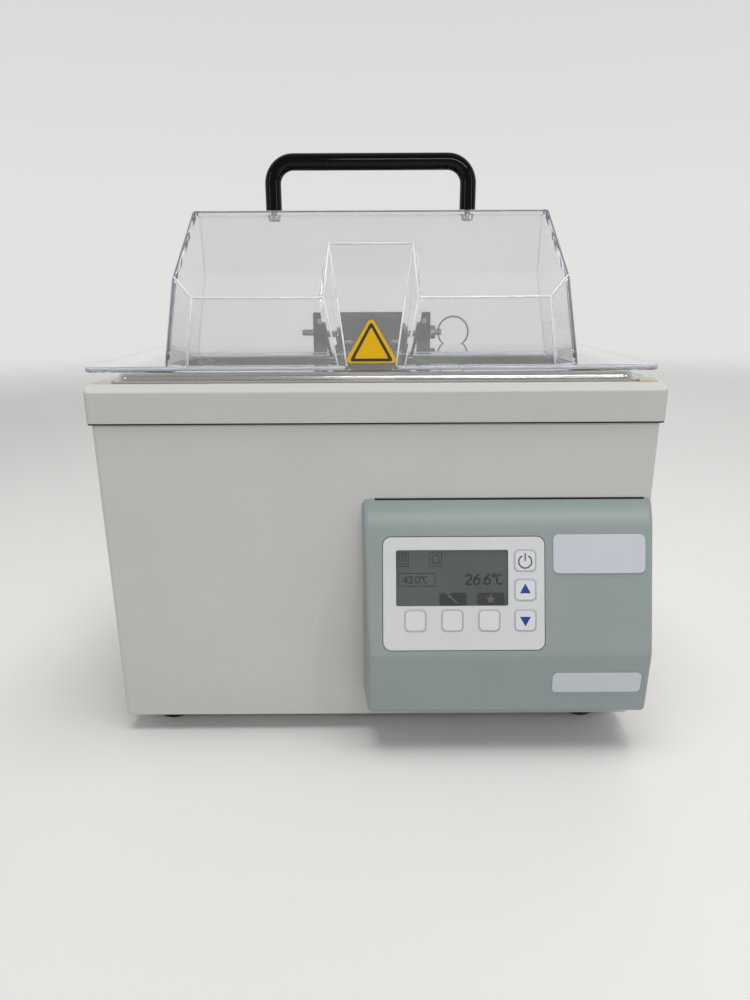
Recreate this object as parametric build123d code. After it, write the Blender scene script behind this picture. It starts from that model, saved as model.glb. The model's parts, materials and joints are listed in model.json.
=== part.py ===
"""Small digital water bath: painted case, stainless tank, control housing and hinged clear lid.

Millimetres, +Z up. The pieces are drawn with x measured from the tank's centre, y from the
casing's front sheet towards the back, and z from the table. save() then moves every piece so
that the origin is under the middle of the whole bath.
"""

import math
import os

from build123d import *

# ---------------------------------------------------------------- driving dimensions
FOOT_HEIGHT = 12.0
CASE_WIDTH = 332.4
CASE_TOP_WIDTH = 336.4
CASE_DEPTH = 205.0
CASE_TOP = 222.0
CASE_CORNER = 3.5
SHEET = 1.2

COVER_OVERHANG = 2.5
COVER_WIDTH = 340.4
COVER_BOTTOM = 207.0
COVER_EDGE = 225.4
COVER_TOP = 229.0
COVER_SLOPE = 8.0
COVER_WALL = 1.7
COVER_CORNER = 4.0

TANK_LENGTH = 300.0
TANK_WIDTH = 150.0
TANK_DEPTH = 150.0
TANK_CORNER = 24.0
TANK_FRONT = 16.0
TANK_SHEET = 1.0
RIM_FLANGE = 8.3
RIM_BEAD = 4.8
BEAD_OUTER_ROUND = 3.4
BEAD_INNER_ROUND = 1.0
BEAD_FOOT_ROUND = 1.4
FLANGE_SHEET = 1.0
RIM_CORNER = 8.0
RIM_TOP = 234.6
GASKET = 0.4

LID_X = -2.5
LID_LENGTH = 342.0
LID_FRONT = 8.0
LID_BACK = 180.0
LID_CORNER = 9.0
LID_BOTTOM = 235.6
LID_WALL = 3.2
LID_FLANGE_TOP = LID_BOTTOM + LID_WALL
RIDGE_Z = 329.5
RIDGE_FRONT = 63.0
RIDGE_BACK = 75.0

HANDLE_ROD = 10.0
HANDLE_SPAN = 122.0
HANDLE_TOP = 363.0
HANDLE_BEND = 13.0

HINGE_X = LID_X
HINGE_Y = 189.0
HINGE_Z = 248.0
HINGE_TOP = 264.0
PIN_RADIUS = 2.5
PIN_PLAY = 0.05
PIN_REACH = 57.0
EAR_INNER = 37.0
EAR_OUTER = 47.5
LEAF_HALF = 27.0

PANEL_LEFT = -5.0
PANEL_LEFT_FOOT = -8.6
PANEL_RIGHT = 166.0
PANEL_RIGHT_FOOT = 167.0
PANEL_TOP = 160.0
PANEL_BOTTOM = 29.0
PANEL_WALL = 2.5
FACE_TOP = (-9.0, 142.0)
FACE_CREASE = (-30.0, 70.0)
PANEL_FOOT = (-27.0, PANEL_BOTTOM)
KEY_SIZE = 13.2
KEY_CORNER = 3.0

INLET_X = -95.0
INLET_Z = 63.0
SWITCH_X = -52.0
SWITCH_Z = 63.0
DRAWER_Z = 49.0

SCREW_HEAD_RATIO = 1.9
ORIGIN_Y = 90.0

# ---------------------------------------------------------------- derived places
BACK = CASE_DEPTH
TANK_Y = TANK_FRONT + TANK_WIDTH / 2
TANK_FLOOR = RIM_TOP - TANK_DEPTH
TANK_UNDER = TANK_FLOOR - TANK_SHEET
FLANGE_Z = COVER_TOP + GASKET
CASE_Y = CASE_DEPTH / 2
PLATE_TOP = FOOT_HEIGHT + SHEET
BOARD_Z = 25.0
BOARD_THICK = 1.6
LID_Y = (LID_FRONT + LID_BACK) / 2
RIDGE_Y = (RIDGE_FRONT + RIDGE_BACK) / 2

FACE_LENGTH = math.dist(FACE_TOP, FACE_CREASE)
FACE_SIN = (FACE_TOP[0] - FACE_CREASE[0]) / FACE_LENGTH
FACE_COS = (FACE_TOP[1] - FACE_CREASE[1]) / FACE_LENGTH
FACE = Plane(origin=(0, *FACE_TOP), x_dir=(1, 0, 0), z_dir=(0, -FACE_COS, FACE_SIN))

TO_ORIGIN = Pos(0, -ORIGIN_Y, 0)


# ---------------------------------------------------------------- helpers
def save(name, *solids):
    """Write one node: its solids, moved to the bath's own origin."""
    placed = [TO_ORIGIN * solid for shape in solids for solid in shape.solids()]
    node = placed[0] if len(placed) == 1 else Compound(children=placed)
    export_step(node, os.path.join("parts", name + ".step"))


def block(x0, x1, y0, y1, z0, z1):
    """Box between two corners."""
    middle = Pos((x0 + x1) / 2, (y0 + y1) / 2, (z0 + z1) / 2)
    return middle * Box(x1 - x0, y1 - y0, z1 - z0)


def slab(width, depth, radius, z0, z1, x=0.0, y=0.0):
    """Upright block with rounded vertical edges."""
    return Pos(x, y, z0) * extrude(RectangleRounded(width, depth, radius), z1 - z0)


def drafted_slab(width0, width1, y0, y1, z0, z1, radius):
    """Upright block whose width changes evenly from width0 at z0 to width1 at z1."""
    half0, half1 = width0 / 2, width1 / 2
    outline = make_face(Polyline((-half0, z0), (half0, z0), (half1, z1), (-half1, z1), close=True))
    body = Pos(0, y1, 0) * extrude(Plane.XZ * outline, y1 - y0)
    across = body.edges().filter_by(Axis.Y, reverse=True)
    return fillet([edge for edge in across if abs(edge.tangent_at(0).Z) > 0.5], radius)


def disc(radius, x, y, z0, z1):
    """Upright round bar from z0 to z1."""
    return Pos(x, y, (z0 + z1) / 2) * Cylinder(radius, z1 - z0)


def bar_x(radius, x0, x1, y, z):
    """Round bar along x."""
    return Pos((x0 + x1) / 2, y, z) * Rot(0, 90, 0) * Cylinder(radius, x1 - x0)


def bar_y(radius, x, y0, y1, z):
    """Round bar along y."""
    return Pos(x, (y0 + y1) / 2, z) * Rot(90, 0, 0) * Cylinder(radius, y1 - y0)


def side_profile(points, x0, x1):
    """Prism along x from an outline given as (y, z) points."""
    outline = make_face(Polyline(*points, close=True))
    return Pos(x0, 0, 0) * extrude(Plane.YZ * outline, x1 - x0)


def screw(radius, length, head):
    """Pan-head screw: the head's underside at z 0, the shank downwards."""
    head_radius = radius * SCREW_HEAD_RATIO
    top = Pos(0, 0, head / 2) * Cylinder(head_radius, head)
    top = fillet(top.edges().sort_by(Axis.Z)[-1], head * 0.45)
    slot = Pos(0, 0, head) * Box(head_radius * 1.5, radius * 0.45, head * 0.7)
    return top - slot + Pos(0, 0, -length / 2) * Cylinder(radius, length)


def tube(points, bend, radius):
    """Round wire along straight runs joined by arcs."""
    path = FilletPolyline(*points, radius=bend)
    return sweep(Plane(path @ 0, z_dir=path % 0) * Circle(radius), path)


def on_face(x, down, out, shape):
    """Place a shape on the slanted control face: down from its top, out along its normal."""
    return FACE.location * Pos(x, -down, out) * shape


def face_slab(x0, x1, down0, down1, out0, out1, radius):
    """Rounded slab lying in the control face."""
    plate = extrude(RectangleRounded(x1 - x0, down1 - down0, radius), out1 - out0)
    return on_face((x0 + x1) / 2, (down0 + down1) / 2, out0, plate)


def upper_edges(solid, level):
    """Edges whose middle lies above a level."""
    return [edge for edge in solid.edges() if edge.center().Z > level]


# ---------------------------------------------------------------- case
COVER_SCREWS = [(x, y) for x in (-157.0, 157.0) for y in (8.0, 197.0)]
BASE_SCREWS = [(x, y) for x in (-100.0, 100.0) for y in (8.0, 197.0)]
FOOT_RADII = (10.5, 12.0)
FOOT_RECESS = 4.6
FOOT_WEB = 5.0
FOOT_HOLE = 2.2
FEET = {
    "foot_front_left": (-140.0, 25.0),
    "foot_front_right": (140.0, 25.0),
    "foot_rear_left": (-140.0, 180.0),
    "foot_rear_right": (140.0, 180.0),
}
PANEL_SCREWS = [(2.0, 45.0), (158.0, 45.0), (2.0, 138.0), (158.0, 135.0)]
PANEL_SCREW_RADIUS = 1.7
CABLE_WINDOW = (30.0, 70.0, 66.0, 92.0)
TAB_Z = 209.0
SEAL_HEIGHT = 1.0
SEAL_INSET = 0.4
SEAL_PLAY = 0.05
SEAL_FRONT = 0.6
SEAL_RISE = 0.3
RETURN_FLANGE = 12.0
LOUVRE_X = (30.0, 72.0, 114.0)
LOUVRE_Z = (28.0, 36.0, 44.0, 52.0, 60.0, 68.0)
INLET_BODY = (27.0, 47.0)
SWITCH_BODY = (13.0, 19.6)
INLET_SCREW_X = 20.0


def case_slab(inset, z0, z1):
    """Horizontal slice of the tapered case, inset from its outer faces."""
    slope = (CASE_TOP_WIDTH - CASE_WIDTH) / (CASE_TOP - FOOT_HEIGHT)
    widths = [CASE_WIDTH + slope * (z - FOOT_HEIGHT) - 2 * inset for z in (z0, z1)]
    return drafted_slab(*widths, inset, CASE_DEPTH - inset, z0, z1, CASE_CORNER - inset)


def casing():
    """Wrapper with a return flange, corner tabs and the openings for the fittings."""
    shell = case_slab(0, FOOT_HEIGHT, CASE_TOP) - case_slab(SHEET, FOOT_HEIGHT, CASE_TOP)
    edge = case_slab(SHEET, PLATE_TOP, PLATE_TOP + SHEET)
    edge -= slab(
        CASE_WIDTH - 2 * SHEET - 2 * RETURN_FLANGE,
        CASE_DEPTH - 2 * SHEET - 2 * RETURN_FLANGE,
        CASE_CORNER,
        PLATE_TOP,
        PLATE_TOP + SHEET,
        y=CASE_Y,
    )
    shell += edge
    for x, y in COVER_SCREWS:
        corner_x = math.copysign(CASE_TOP_WIDTH / 2 - SHEET, x)
        corner_y = CASE_Y + math.copysign(CASE_DEPTH / 2 - SHEET, y - CASE_Y)
        tab = slab(28, 28, 4, TAB_Z, TAB_Z + SHEET, x=corner_x, y=corner_y)
        shell += tab & case_slab(SHEET, TAB_Z, TAB_Z + SHEET)
        shell -= disc(2.1, x, y, TAB_Z - 1, TAB_Z + 2)
    for x, y in BASE_SCREWS:
        shell -= disc(1.8, x, y, FOOT_HEIGHT, PLATE_TOP + 2)
    for x, z in PANEL_SCREWS:
        shell -= bar_y(PANEL_SCREW_RADIUS + 0.3, x, -1, SHEET + 1, z)
    x0, x1, z0, z1 = CABLE_WINDOW
    shell -= block(x0, x1, -1, SHEET + 1, z0, z1)
    shell -= opening(INLET_X, INLET_Z, INLET_BODY)
    shell -= opening(SWITCH_X, SWITCH_Z, SWITCH_BODY)
    for side in (-1, 1):
        shell -= bar_y(1.8, INLET_X + side * INLET_SCREW_X, BACK - 3, BACK + 1, INLET_Z)
    for x in LOUVRE_X:
        for z in LOUVRE_Z:
            shell -= louvre(x, z)
    return shell


def opening(x, z, size):
    """Cut through the casing's rear sheet, 0.3 larger all round than what it takes."""
    half_x = size[0] / 2 + 0.3
    half_z = size[1] / 2 + 0.3
    return block(x - half_x, x + half_x, BACK - 3, BACK + 1, z - half_z, z + half_z)


def louvre(x, z):
    """One round-ended ventilation slot through the rear sheet."""
    slot = extrude(SlotOverall(30, 3), 6)
    return Pos(x, BACK + 3, z) * Rot(90, 0, 0) * slot


def base_plate():
    """Bottom sheet with ventilation slots and screw holes."""
    gap = 0.2
    width = CASE_WIDTH - 2 * SHEET - 2 * gap
    depth = CASE_DEPTH - 2 * SHEET - 2 * gap
    plate = slab(width, depth, CASE_CORNER - SHEET - gap, FOOT_HEIGHT, PLATE_TOP, y=CASE_Y)
    for x, y in list(FEET.values()):
        plate -= disc(FOOT_HOLE, x, y, FOOT_HEIGHT - 1, PLATE_TOP + 1)
    for x, y in BASE_SCREWS:
        plate -= disc(1.8, x, y, FOOT_HEIGHT - 1, PLATE_TOP + 1)
    for row in range(5):
        for side in (-1, 1):
            slot = extrude(SlotOverall(36, 4), 4)
            plate -= Pos(side * 105, 70 + 16 * row, FOOT_HEIGHT - 1) * slot
    for x, y in BOARD_POSTS:
        plate -= disc(1.5, x, y, FOOT_HEIGHT - 1, PLATE_TOP + 1)
    return plate


def foot(x, y):
    """Tapered rubber foot with a screw recess."""
    body = Pos(x, y, FOOT_HEIGHT / 2) * Cone(*FOOT_RADII, FOOT_HEIGHT)
    body = fillet(body.edges().sort_by(Axis.Z)[0], 1.5)
    body -= disc(FOOT_RECESS, x, y, -1, FOOT_WEB)
    return body - disc(FOOT_HOLE, x, y, 4, FOOT_HEIGHT + 1)


def foot_fastener(x, y):
    """Screw up through a foot and the base plate, and its nut."""
    bolt = Pos(x, y, FOOT_WEB) * Rot(180, 0, 0) * screw(2.0, 13.0, 2.4)
    nut = extrude(RegularPolygon(3.9, 6), 3.2) - Pos(0, 0, 1.6) * Cylinder(2.05, 3.2)
    return [bolt, Pos(x, y, PLATE_TOP) * nut]


def cover_solid(inset, top):
    """Cover as a solid, its front and rear edges sloping up to a flat top."""
    front = -COVER_OVERHANG + inset
    back = BACK + COVER_OVERHANG - inset
    body = slab(COVER_WIDTH - 2 * inset, back - front, COVER_CORNER - inset, COVER_BOTTOM, top, y=CASE_Y)
    rise = COVER_TOP - COVER_EDGE
    for y, side in ((front, -1), (back, 1)):
        slope = Plane(origin=(0, y, top - rise), z_dir=(0, side * rise, COVER_SLOPE))
        body = split(body, bisect_by=slope, keep=Keep.BOTTOM)
    return body


def top_cover():
    """Moulded frame that laps over the casing and carries the tank's rim."""
    body = cover_solid(0, COVER_TOP)
    rims = [e for e in body.edges() if e.center().Z > COVER_EDGE - 0.5 and is_cover_outline(e)]
    body = fillet(rims, 1.6)
    inside = cover_solid(COVER_WALL, COVER_TOP - COVER_WALL)
    for x, y in COVER_SCREWS:
        inside -= disc(5.0, x, y, TAB_Z + SHEET, COVER_TOP)
    body -= inside
    for x, y in COVER_SCREWS:
        body -= disc(1.8, x, y, TAB_Z, COVER_TOP - 6)
    mouth = (TANK_LENGTH + 6, TANK_WIDTH + 6, TANK_CORNER + 3)
    body -= slab(*mouth, COVER_BOTTOM, COVER_TOP + 1, y=TANK_Y)
    for x in BRACKET_SCREWS:
        body -= disc(1.8, HINGE_X + x, HINGE_Y, COVER_TOP - 8, COVER_TOP + 1)
    return body


def is_cover_outline(edge):
    """True for an edge of the cover's outer top outline, not a slope's inner edge."""
    middle = edge.center()
    at_side = abs(middle.X) > COVER_WIDTH / 2 - COVER_CORNER
    at_end = abs(middle.Y - CASE_Y) > CASE_DEPTH / 2 + COVER_OVERHANG - 1
    return at_side or at_end


def case_seals():
    """Dark strips that close the joints under the cover's edge and along the housing's top."""
    low = COVER_BOTTOM - SEAL_HEIGHT
    width = COVER_WIDTH - 2 * SEAL_INSET
    depth = CASE_DEPTH + 2 * (COVER_OVERHANG - SEAL_INSET)
    ring = slab(width, depth, COVER_CORNER - SEAL_INSET, low, COVER_BOTTOM, y=CASE_Y)
    ring -= case_slab(-SEAL_PLAY, low, COVER_BOTTOM)
    strip = block(PANEL_LEFT + 4, PANEL_RIGHT - 4, -SEAL_FRONT, 0, PANEL_TOP - 5, PANEL_TOP + SEAL_RISE)
    return [ring, strip - housing_solid(0)]


def cover_screws():
    """Screws from the casing's corner tabs up into the cover."""
    part = screw(1.7, 12.0, 2.0)
    return [Pos(x, y, TAB_Z) * Rot(180, 0, 0) * part for x, y in COVER_SCREWS]


def base_screws():
    """Screws up through the base plate into the casing's return flange."""
    part = screw(1.7, 5.0, 2.0)
    return [Pos(x, y, FOOT_HEIGHT) * Rot(180, 0, 0) * part for x, y in BASE_SCREWS]


# ---------------------------------------------------------------- tank
HEATER = (230.0, 104.0, 2.4)
PROBE_X = -130.0
PROBE_PLUG = (-80.0, 96.0)
PROBE_PLUG_TOP = 32.0
CUTOUT_X = 130.0
HEATER_LEAD_X = (-60.0, -52.0)
TRAY_TOP = TANK_FLOOR + 12.0
TRAY_PITCH = 21.0


def tank():
    """Deep-drawn stainless tank with a raised bead and a flat flange around its mouth."""
    outer = slab(
        TANK_LENGTH + 2 * TANK_SHEET,
        TANK_WIDTH + 2 * TANK_SHEET,
        TANK_CORNER + TANK_SHEET,
        TANK_UNDER,
        RIM_TOP - 1,
        y=TANK_Y,
    )
    outer = fillet(outer.edges().group_by(Axis.Z)[0], 14.0)
    groove = rim_ring(RIM_BEAD - TANK_SHEET, 2.0, FLANGE_Z, RIM_TOP - 2.0)
    inner = slab(TANK_LENGTH, TANK_WIDTH, TANK_CORNER, TANK_FLOOR, RIM_TOP - 2, y=TANK_Y)
    inner = fillet(inner.edges().group_by(Axis.Z)[0], 13.0)
    neck = slab(TANK_LENGTH, TANK_WIDTH, TANK_CORNER, RIM_TOP - 2.1, RIM_TOP - 0.9, y=TANK_Y)
    return outer + tank_rim() - groove - inner - neck


def tank_rim():
    """Rolled bead, rounded most on its outer side, that runs out into the flange."""
    top, foot = RIM_TOP, FLANGE_Z + FLANGE_SHEET
    rim = slab(TANK_LENGTH + 2 * RIM_BEAD, TANK_WIDTH + 2 * RIM_BEAD, RIM_CORNER, FLANGE_Z, top, y=TANK_Y)
    rim = fillet(rim.edges().group_by(Axis.Z)[-1], BEAD_OUTER_ROUND)
    rim -= slab(TANK_LENGTH, TANK_WIDTH, TANK_CORNER, FLANGE_Z - 1, top + 1, y=TANK_Y)
    rim = fillet([e for e in rim.edges() if e.center().Z > top - 0.1 and near_mouth(e, 0)], BEAD_INNER_ROUND)
    rim += rim_ring(RIM_FLANGE, 0, FLANGE_Z, foot)
    corner = [e for e in rim.edges() if abs(e.center().Z - foot) < 0.1 and near_mouth(e, RIM_BEAD)]
    return fillet(corner, BEAD_FOOT_ROUND)


def near_mouth(edge, reach):
    """True for an edge no further than reach outside the tank's opening."""
    middle = edge.center()
    across = abs(middle.X) - TANK_LENGTH / 2
    along = abs(middle.Y - TANK_Y) - TANK_WIDTH / 2
    return max(across, along) < reach + 0.1


def rim_ring(out, inset, z0, z1):
    """Square-cornered ring around the tank's mouth, from inset to out beyond the opening."""
    ring = slab(TANK_LENGTH + 2 * out, TANK_WIDTH + 2 * out, RIM_CORNER, z0, z1, y=TANK_Y)
    hole = slab(
        TANK_LENGTH + 2 * inset,
        TANK_WIDTH + 2 * inset,
        TANK_CORNER + inset,
        z0,
        z1,
        y=TANK_Y,
    )
    return ring - hole


def tank_insulation():
    """Foam jacket around the tank walls and a pad under the heater."""
    low = TANK_UNDER - 1.4
    jacket = slab(320, 169, 33, low, 205, y=TANK_Y)
    jacket -= slab(303, 153, 25.5, low, 205, y=TANK_Y)
    pad_top = TANK_UNDER - HEATER[2] - 1.0
    pad_low = pad_top - 15
    pad = slab(264, 124, 18, pad_low, pad_top, y=TANK_Y)
    pad -= block(PROBE_X - 4, PROBE_X + 4, 70, 138, pad_low, pad_top)
    pad -= disc(9.5, CUTOUT_X, TANK_Y, pad_low, pad_top)
    for x in HEATER_LEAD_X:
        pad -= disc(2.5, x, TERMINAL_Y, pad_low, pad_top)
    return [jacket, pad]


def temperature_probe():
    """Steel sensor sleeve clamped under the tank floor, with its lead to the power board."""
    sleeve_z = TANK_UNDER - 2.1
    sleeve = bar_y(2.0, PROBE_X, 76, 106, sleeve_z)
    plug_x, plug_y = PROBE_PLUG
    route = [(PROBE_X, 106, sleeve_z), (PROBE_X, 124, sleeve_z), (PROBE_X, 130, 56)]
    route += [(-100.0, 112, 45), (plug_x, plug_y, 45), (plug_x, plug_y, PROBE_PLUG_TOP)]
    return [sleeve, tube(route, 6, 1.1)]


def thermal_cutout():
    """Disc thermostat under the tank floor, with two tabs."""
    top = TANK_UNDER - 0.1
    body = disc(8.0, CUTOUT_X, TANK_Y, top - 9, top - 1.2) + disc(6.5, CUTOUT_X, TANK_Y, top - 1.2, top)
    for side in (-1, 1):
        x = CUTOUT_X + side * 4
        body += block(x - 0.4, x + 0.4, TANK_Y - 3, TANK_Y + 3, top - 17, top - 9)
    return body


def heater_pad():
    """Silicone heating mat bonded to the underside of the tank."""
    width, depth, thick = HEATER
    pad = slab(width, depth, 8, TANK_UNDER - thick, TANK_UNDER, y=TANK_Y)
    for x in HEATER_LEAD_X:
        pad += disc(2.2, x, TERMINAL_Y, TANK_UNDER - thick - 1.5, TANK_UNDER - thick)
    return pad


def diffuser_tray():
    """Perforated lift-out shelf on four bent tabs."""
    plate = slab(284, 134, 18, TRAY_TOP - 4, TRAY_TOP, y=TANK_Y)
    plate -= slab(281.6, 131.6, 16.8, TRAY_TOP - 4, TRAY_TOP - SHEET, y=TANK_Y)
    for column in range(-5, 6):
        for row in range(-2, 3):
            x = TRAY_PITCH * column
            plate -= disc(4.0, x, TANK_Y + TRAY_PITCH * row, TRAY_TOP - 2, TRAY_TOP + 1)
    for x in (-126.0, 126.0):
        plate -= disc(7.0, x, TANK_Y, TRAY_TOP - 2, TRAY_TOP + 1)
    for x in (-112.0, 112.0):
        for y in (TANK_Y - 54, TANK_Y + 54):
            plate += block(x - 8, x + 8, y - 0.6, y + 0.6, TANK_FLOOR + 0.3, TRAY_TOP - SHEET)
    return plate


# ---------------------------------------------------------------- power electronics
BOARD = (-75.0, 75.0, 34.0, 124.0)
BOARD_POSTS = [(x, y) for x in (-70.0, 70.0) for y in (39.0, 103.0)]
TERMINAL_Y = 114.0
TERMINAL_X = (-84.0, -30.0)
RIBBON_X = (37.0, 63.0)
RIBBON_HEADER_Y = (40.0, 46.0)
RIBBON_HEADER_HEIGHT = 6.0
# x from and to, y from and to, height from and to above the board
TRANSFORMER = [(-58, -22, 48, 78, 0, 8), (-52, -28, 48, 78, 8, 26), (-58, -22, 51, 75, 12, 22)]
RELAY = (-8, 12, 44, 60, 0, 15)
# x, y and height
CAPACITORS = [(-6, 78, 20), (8, 78, 20), (-6, 96, 12)]
CAPACITOR_RADIUS = 5.0
SINK_X = (20.0, 60.0)
SINK_Y = (78.0, 81.0)
SINK_HEIGHT = 28.0
SINK_FINS = 7
FIN_PITCH = 6.0
FIN_THICK = 1.6
FIN_DEPTH = 16.0
TERMINAL_WAYS = 6
TERMINAL_PITCH = 8.8
TERMINAL_HEIGHT = 11.0
TERMINAL_HALF = 6.0
MAINS_LEAD_ENDS = ((-101.0, 64.0, -76.0), (-95.0, 70.0, -66.0), (-89.0, 64.0, -44.0))


def board_standoffs():
    """Hexagonal posts between the base plate and the power board, with top screws."""
    parts = []
    for x, y in BOARD_POSTS:
        parts.append(Pos(x, y, PLATE_TOP) * extrude(RegularPolygon(3.2, 6), BOARD_Z - PLATE_TOP))
        parts.append(Pos(x, y, BOARD_Z + BOARD_THICK) * screw(1.3, BOARD_THICK, 1.6))
    return parts


def power_board():
    """Circuit board with its transformer, relay, capacitors and ribbon header."""
    x0, x1, y0, y1 = BOARD
    top = BOARD_Z + BOARD_THICK
    board = block(x0 - 12, x1, y0, y1, BOARD_Z, top)
    for x, y in BOARD_POSTS:
        board -= disc(1.4, x, y, BOARD_Z - 1, top + 1)
    for *sides, low, high in [*TRANSFORMER, RELAY]:
        board += block(*sides, top + low, top + high)
    for x, y, height in CAPACITORS:
        board += disc(CAPACITOR_RADIUS, x, y, top, top + height)
    board += block(RIBBON_X[0] - 1, RIBBON_X[1] + 1, *RIBBON_HEADER_Y, top, top + RIBBON_HEADER_HEIGHT)
    plug_x, plug_y = PROBE_PLUG
    board += block(plug_x - 4, plug_x + 4, plug_y - 3, plug_y + 3, top, PROBE_PLUG_TOP)
    return board


def board_heatsink():
    """Finned heat sink for the switching device."""
    top = BOARD_Z + BOARD_THICK
    sink = block(*SINK_X, *SINK_Y, top, top + SINK_HEIGHT)
    for fin in range(SINK_FINS):
        x = SINK_X[0] + 1 + FIN_PITCH * fin
        sink += block(x, x + FIN_THICK, SINK_Y[1], SINK_Y[1] + FIN_DEPTH, top, top + SINK_HEIGHT)
    return sink


def terminal_block():
    """Screw terminal strip along the board's rear edge."""
    top = BOARD_Z + BOARD_THICK
    x0, x1 = TERMINAL_X
    high = top + TERMINAL_HEIGHT
    strip = block(x0, x1, TERMINAL_Y - TERMINAL_HALF, TERMINAL_Y + TERMINAL_HALF, top, high)
    strip = chamfer(strip.edges().filter_by(Axis.X).group_by(Axis.Z)[-1], 2.0)
    for way in range(TERMINAL_WAYS):
        x = x0 + 5 + TERMINAL_PITCH * way
        strip -= disc(2.6, x, TERMINAL_Y, high - 2, high + 1)
    return strip


def heater_leads():
    """Two leads from the terminal strip up to the heater mat."""
    low = BOARD_Z + BOARD_THICK + TERMINAL_HEIGHT
    high = TANK_UNDER - HEATER[2] - 1.5
    return [disc(1.4, x, TERMINAL_Y, low, high) for x in HEATER_LEAD_X]


def mains_leads():
    """Three leads from the inlet's tabs to the terminal strip."""
    leads = []
    for x, z, end_x in MAINS_LEAD_ENDS:
        route = [(x, 180, z), (x, 158, z), (end_x, 142, 34), (end_x, TERMINAL_Y + TERMINAL_HALF, 34)]
        leads.append(tube(route, 7, 1.3))
    return leads


def ribbon_cable():
    """Flat cable from the control board, through the casing's window, to the power board."""
    start = FACE.location * Pos(0, -RIBBON_DOWN, RIBBON_OUT)
    y0, z0 = start.position.Y, start.position.Z
    top = BOARD_Z + BOARD_THICK + RIBBON_HEADER_HEIGHT
    route = [(y0, z0), (y0 + 16 * FACE_COS, z0 - 16 * FACE_SIN), (24, 58), (43, 50), (43, top)]
    strip = trace(FilletPolyline(*route, radius=5), 0.9)
    return Pos(RIBBON_X[0], 0, 0) * extrude(Plane.YZ * strip, RIBBON_X[1] - RIBBON_X[0])


# ---------------------------------------------------------------- rear fittings
SOCKET = (24.6, 17.4)
SOCKET_Z = 72.0
DRAWER = (21.6, 11.6, 14.0)
DRAWER_FRONT = 1.5
INLET_FLANGE = 2.5


def mains_inlet():
    """Appliance inlet module: socket above, slot for the fuse drawer below."""
    half_x, half_z = INLET_BODY[0] / 2, INLET_BODY[1] / 2
    body = block(INLET_X - half_x, INLET_X + half_x, BACK - 22, BACK, INLET_Z - half_z, INLET_Z + half_z)
    plate = extrude(RectangleRounded(48, 54, 4), INLET_FLANGE)
    body += Pos(INLET_X, BACK + INLET_FLANGE, INLET_Z) * Rot(90, 0, 0) * plate
    mouth = extrude(RectangleRounded(*SOCKET, 2.5), 17)
    body -= Pos(INLET_X, BACK + INLET_FLANGE, SOCKET_Z) * Rot(90, 0, 0) * mouth
    half_w, half_h = DRAWER[0] / 2 + 0.3, DRAWER[1] / 2 + 0.3
    body -= block(
        INLET_X - half_w,
        INLET_X + half_w,
        BACK - DRAWER[2] - 1,
        BACK + 3,
        DRAWER_Z - half_h,
        DRAWER_Z + half_h,
    )
    for x, z in inlet_pin_places():
        body -= block(x - 2.0, x + 2.0, BACK - 23, BACK - 14, z - 1.0, z + 1.0)
    for side in (-1, 1):
        body -= bar_y(1.8, INLET_X + side * INLET_SCREW_X, BACK - 1, BACK + 4, INLET_Z)
    return body


def inlet_pin_places():
    """Centres of the three inlet pins, as x and z."""
    return [(INLET_X, SOCKET_Z + 3.0), (INLET_X - 7.0, SOCKET_Z - 2.0), (INLET_X + 7.0, SOCKET_Z - 2.0)]


def inlet_pins():
    """Three flat pins with solder tabs behind the inlet."""
    return [block(x - 2, x + 2, BACK - 25, BACK - 3, z - 1, z + 1) for x, z in inlet_pin_places()]


def inlet_screws():
    """Two screws through the inlet flange into the rear sheet."""
    part = screw(1.6, 6.0, 1.8)
    face_y = BACK + INLET_FLANGE
    places = [INLET_X + side * INLET_SCREW_X for side in (-1, 1)]
    return [Pos(x, face_y, INLET_Z) * Rot(-90, 0, 0) * part for x in places]


def fuse_drawer():
    """Small drawer that carries the fuses, with a finger lip."""
    x0, x1 = INLET_X - DRAWER[0] / 2, INLET_X + DRAWER[0] / 2
    z0, z1 = DRAWER_Z - DRAWER[1] / 2, DRAWER_Z + DRAWER[1] / 2
    face_y = BACK + INLET_FLANGE
    front_y = face_y + DRAWER_FRONT
    body = block(x0, x1, BACK - DRAWER[2], face_y, z0, z1)
    body -= block(INLET_X - 10.4, INLET_X + 10.4, BACK - 13, BACK + 0.5, DRAWER_Z - 4, DRAWER_Z + 9)
    body += block(x0, x1, face_y, front_y, z0, z1)
    lip = block(INLET_X - 6, INLET_X + 6, front_y, front_y + DRAWER_FRONT, z0, z0 + 2)
    return body + lip


def fuses():
    """Working fuse and spare, lying across the drawer."""
    parts = []
    for y in (BACK - 9.6, BACK - 3.2):
        glass = bar_x(2.3, INLET_X - 5.5, INLET_X + 5.5, y, DRAWER_Z - 1.3)
        for side in (-1, 1):
            x0 = INLET_X + side * 5.5
            x1 = INLET_X + side * 10.0
            glass += bar_x(2.6, min(x0, x1), max(x0, x1), y, DRAWER_Z - 1.3)
        parts.append(glass)
    return parts


def switch_frame():
    """Bezel and body of the mains switch."""
    half_x, half_z = SWITCH_BODY[0] / 2, SWITCH_BODY[1] / 2
    body = block(
        SWITCH_X - half_x,
        SWITCH_X + half_x,
        BACK - 16,
        BACK,
        SWITCH_Z - half_z,
        SWITCH_Z + half_z,
    )
    plate = extrude(RectangleRounded(17, 24, 1.5), 2)
    body += Pos(SWITCH_X, BACK + 2, SWITCH_Z) * Rot(90, 0, 0) * plate
    return body - block(SWITCH_X - 5.6, SWITCH_X + 5.6, BACK - 8, BACK + 3, SWITCH_Z - 8.8, SWITCH_Z + 8.8)


ROCKER_TILT = 7.0
ROCKER_Y = BACK - 2.0


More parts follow.
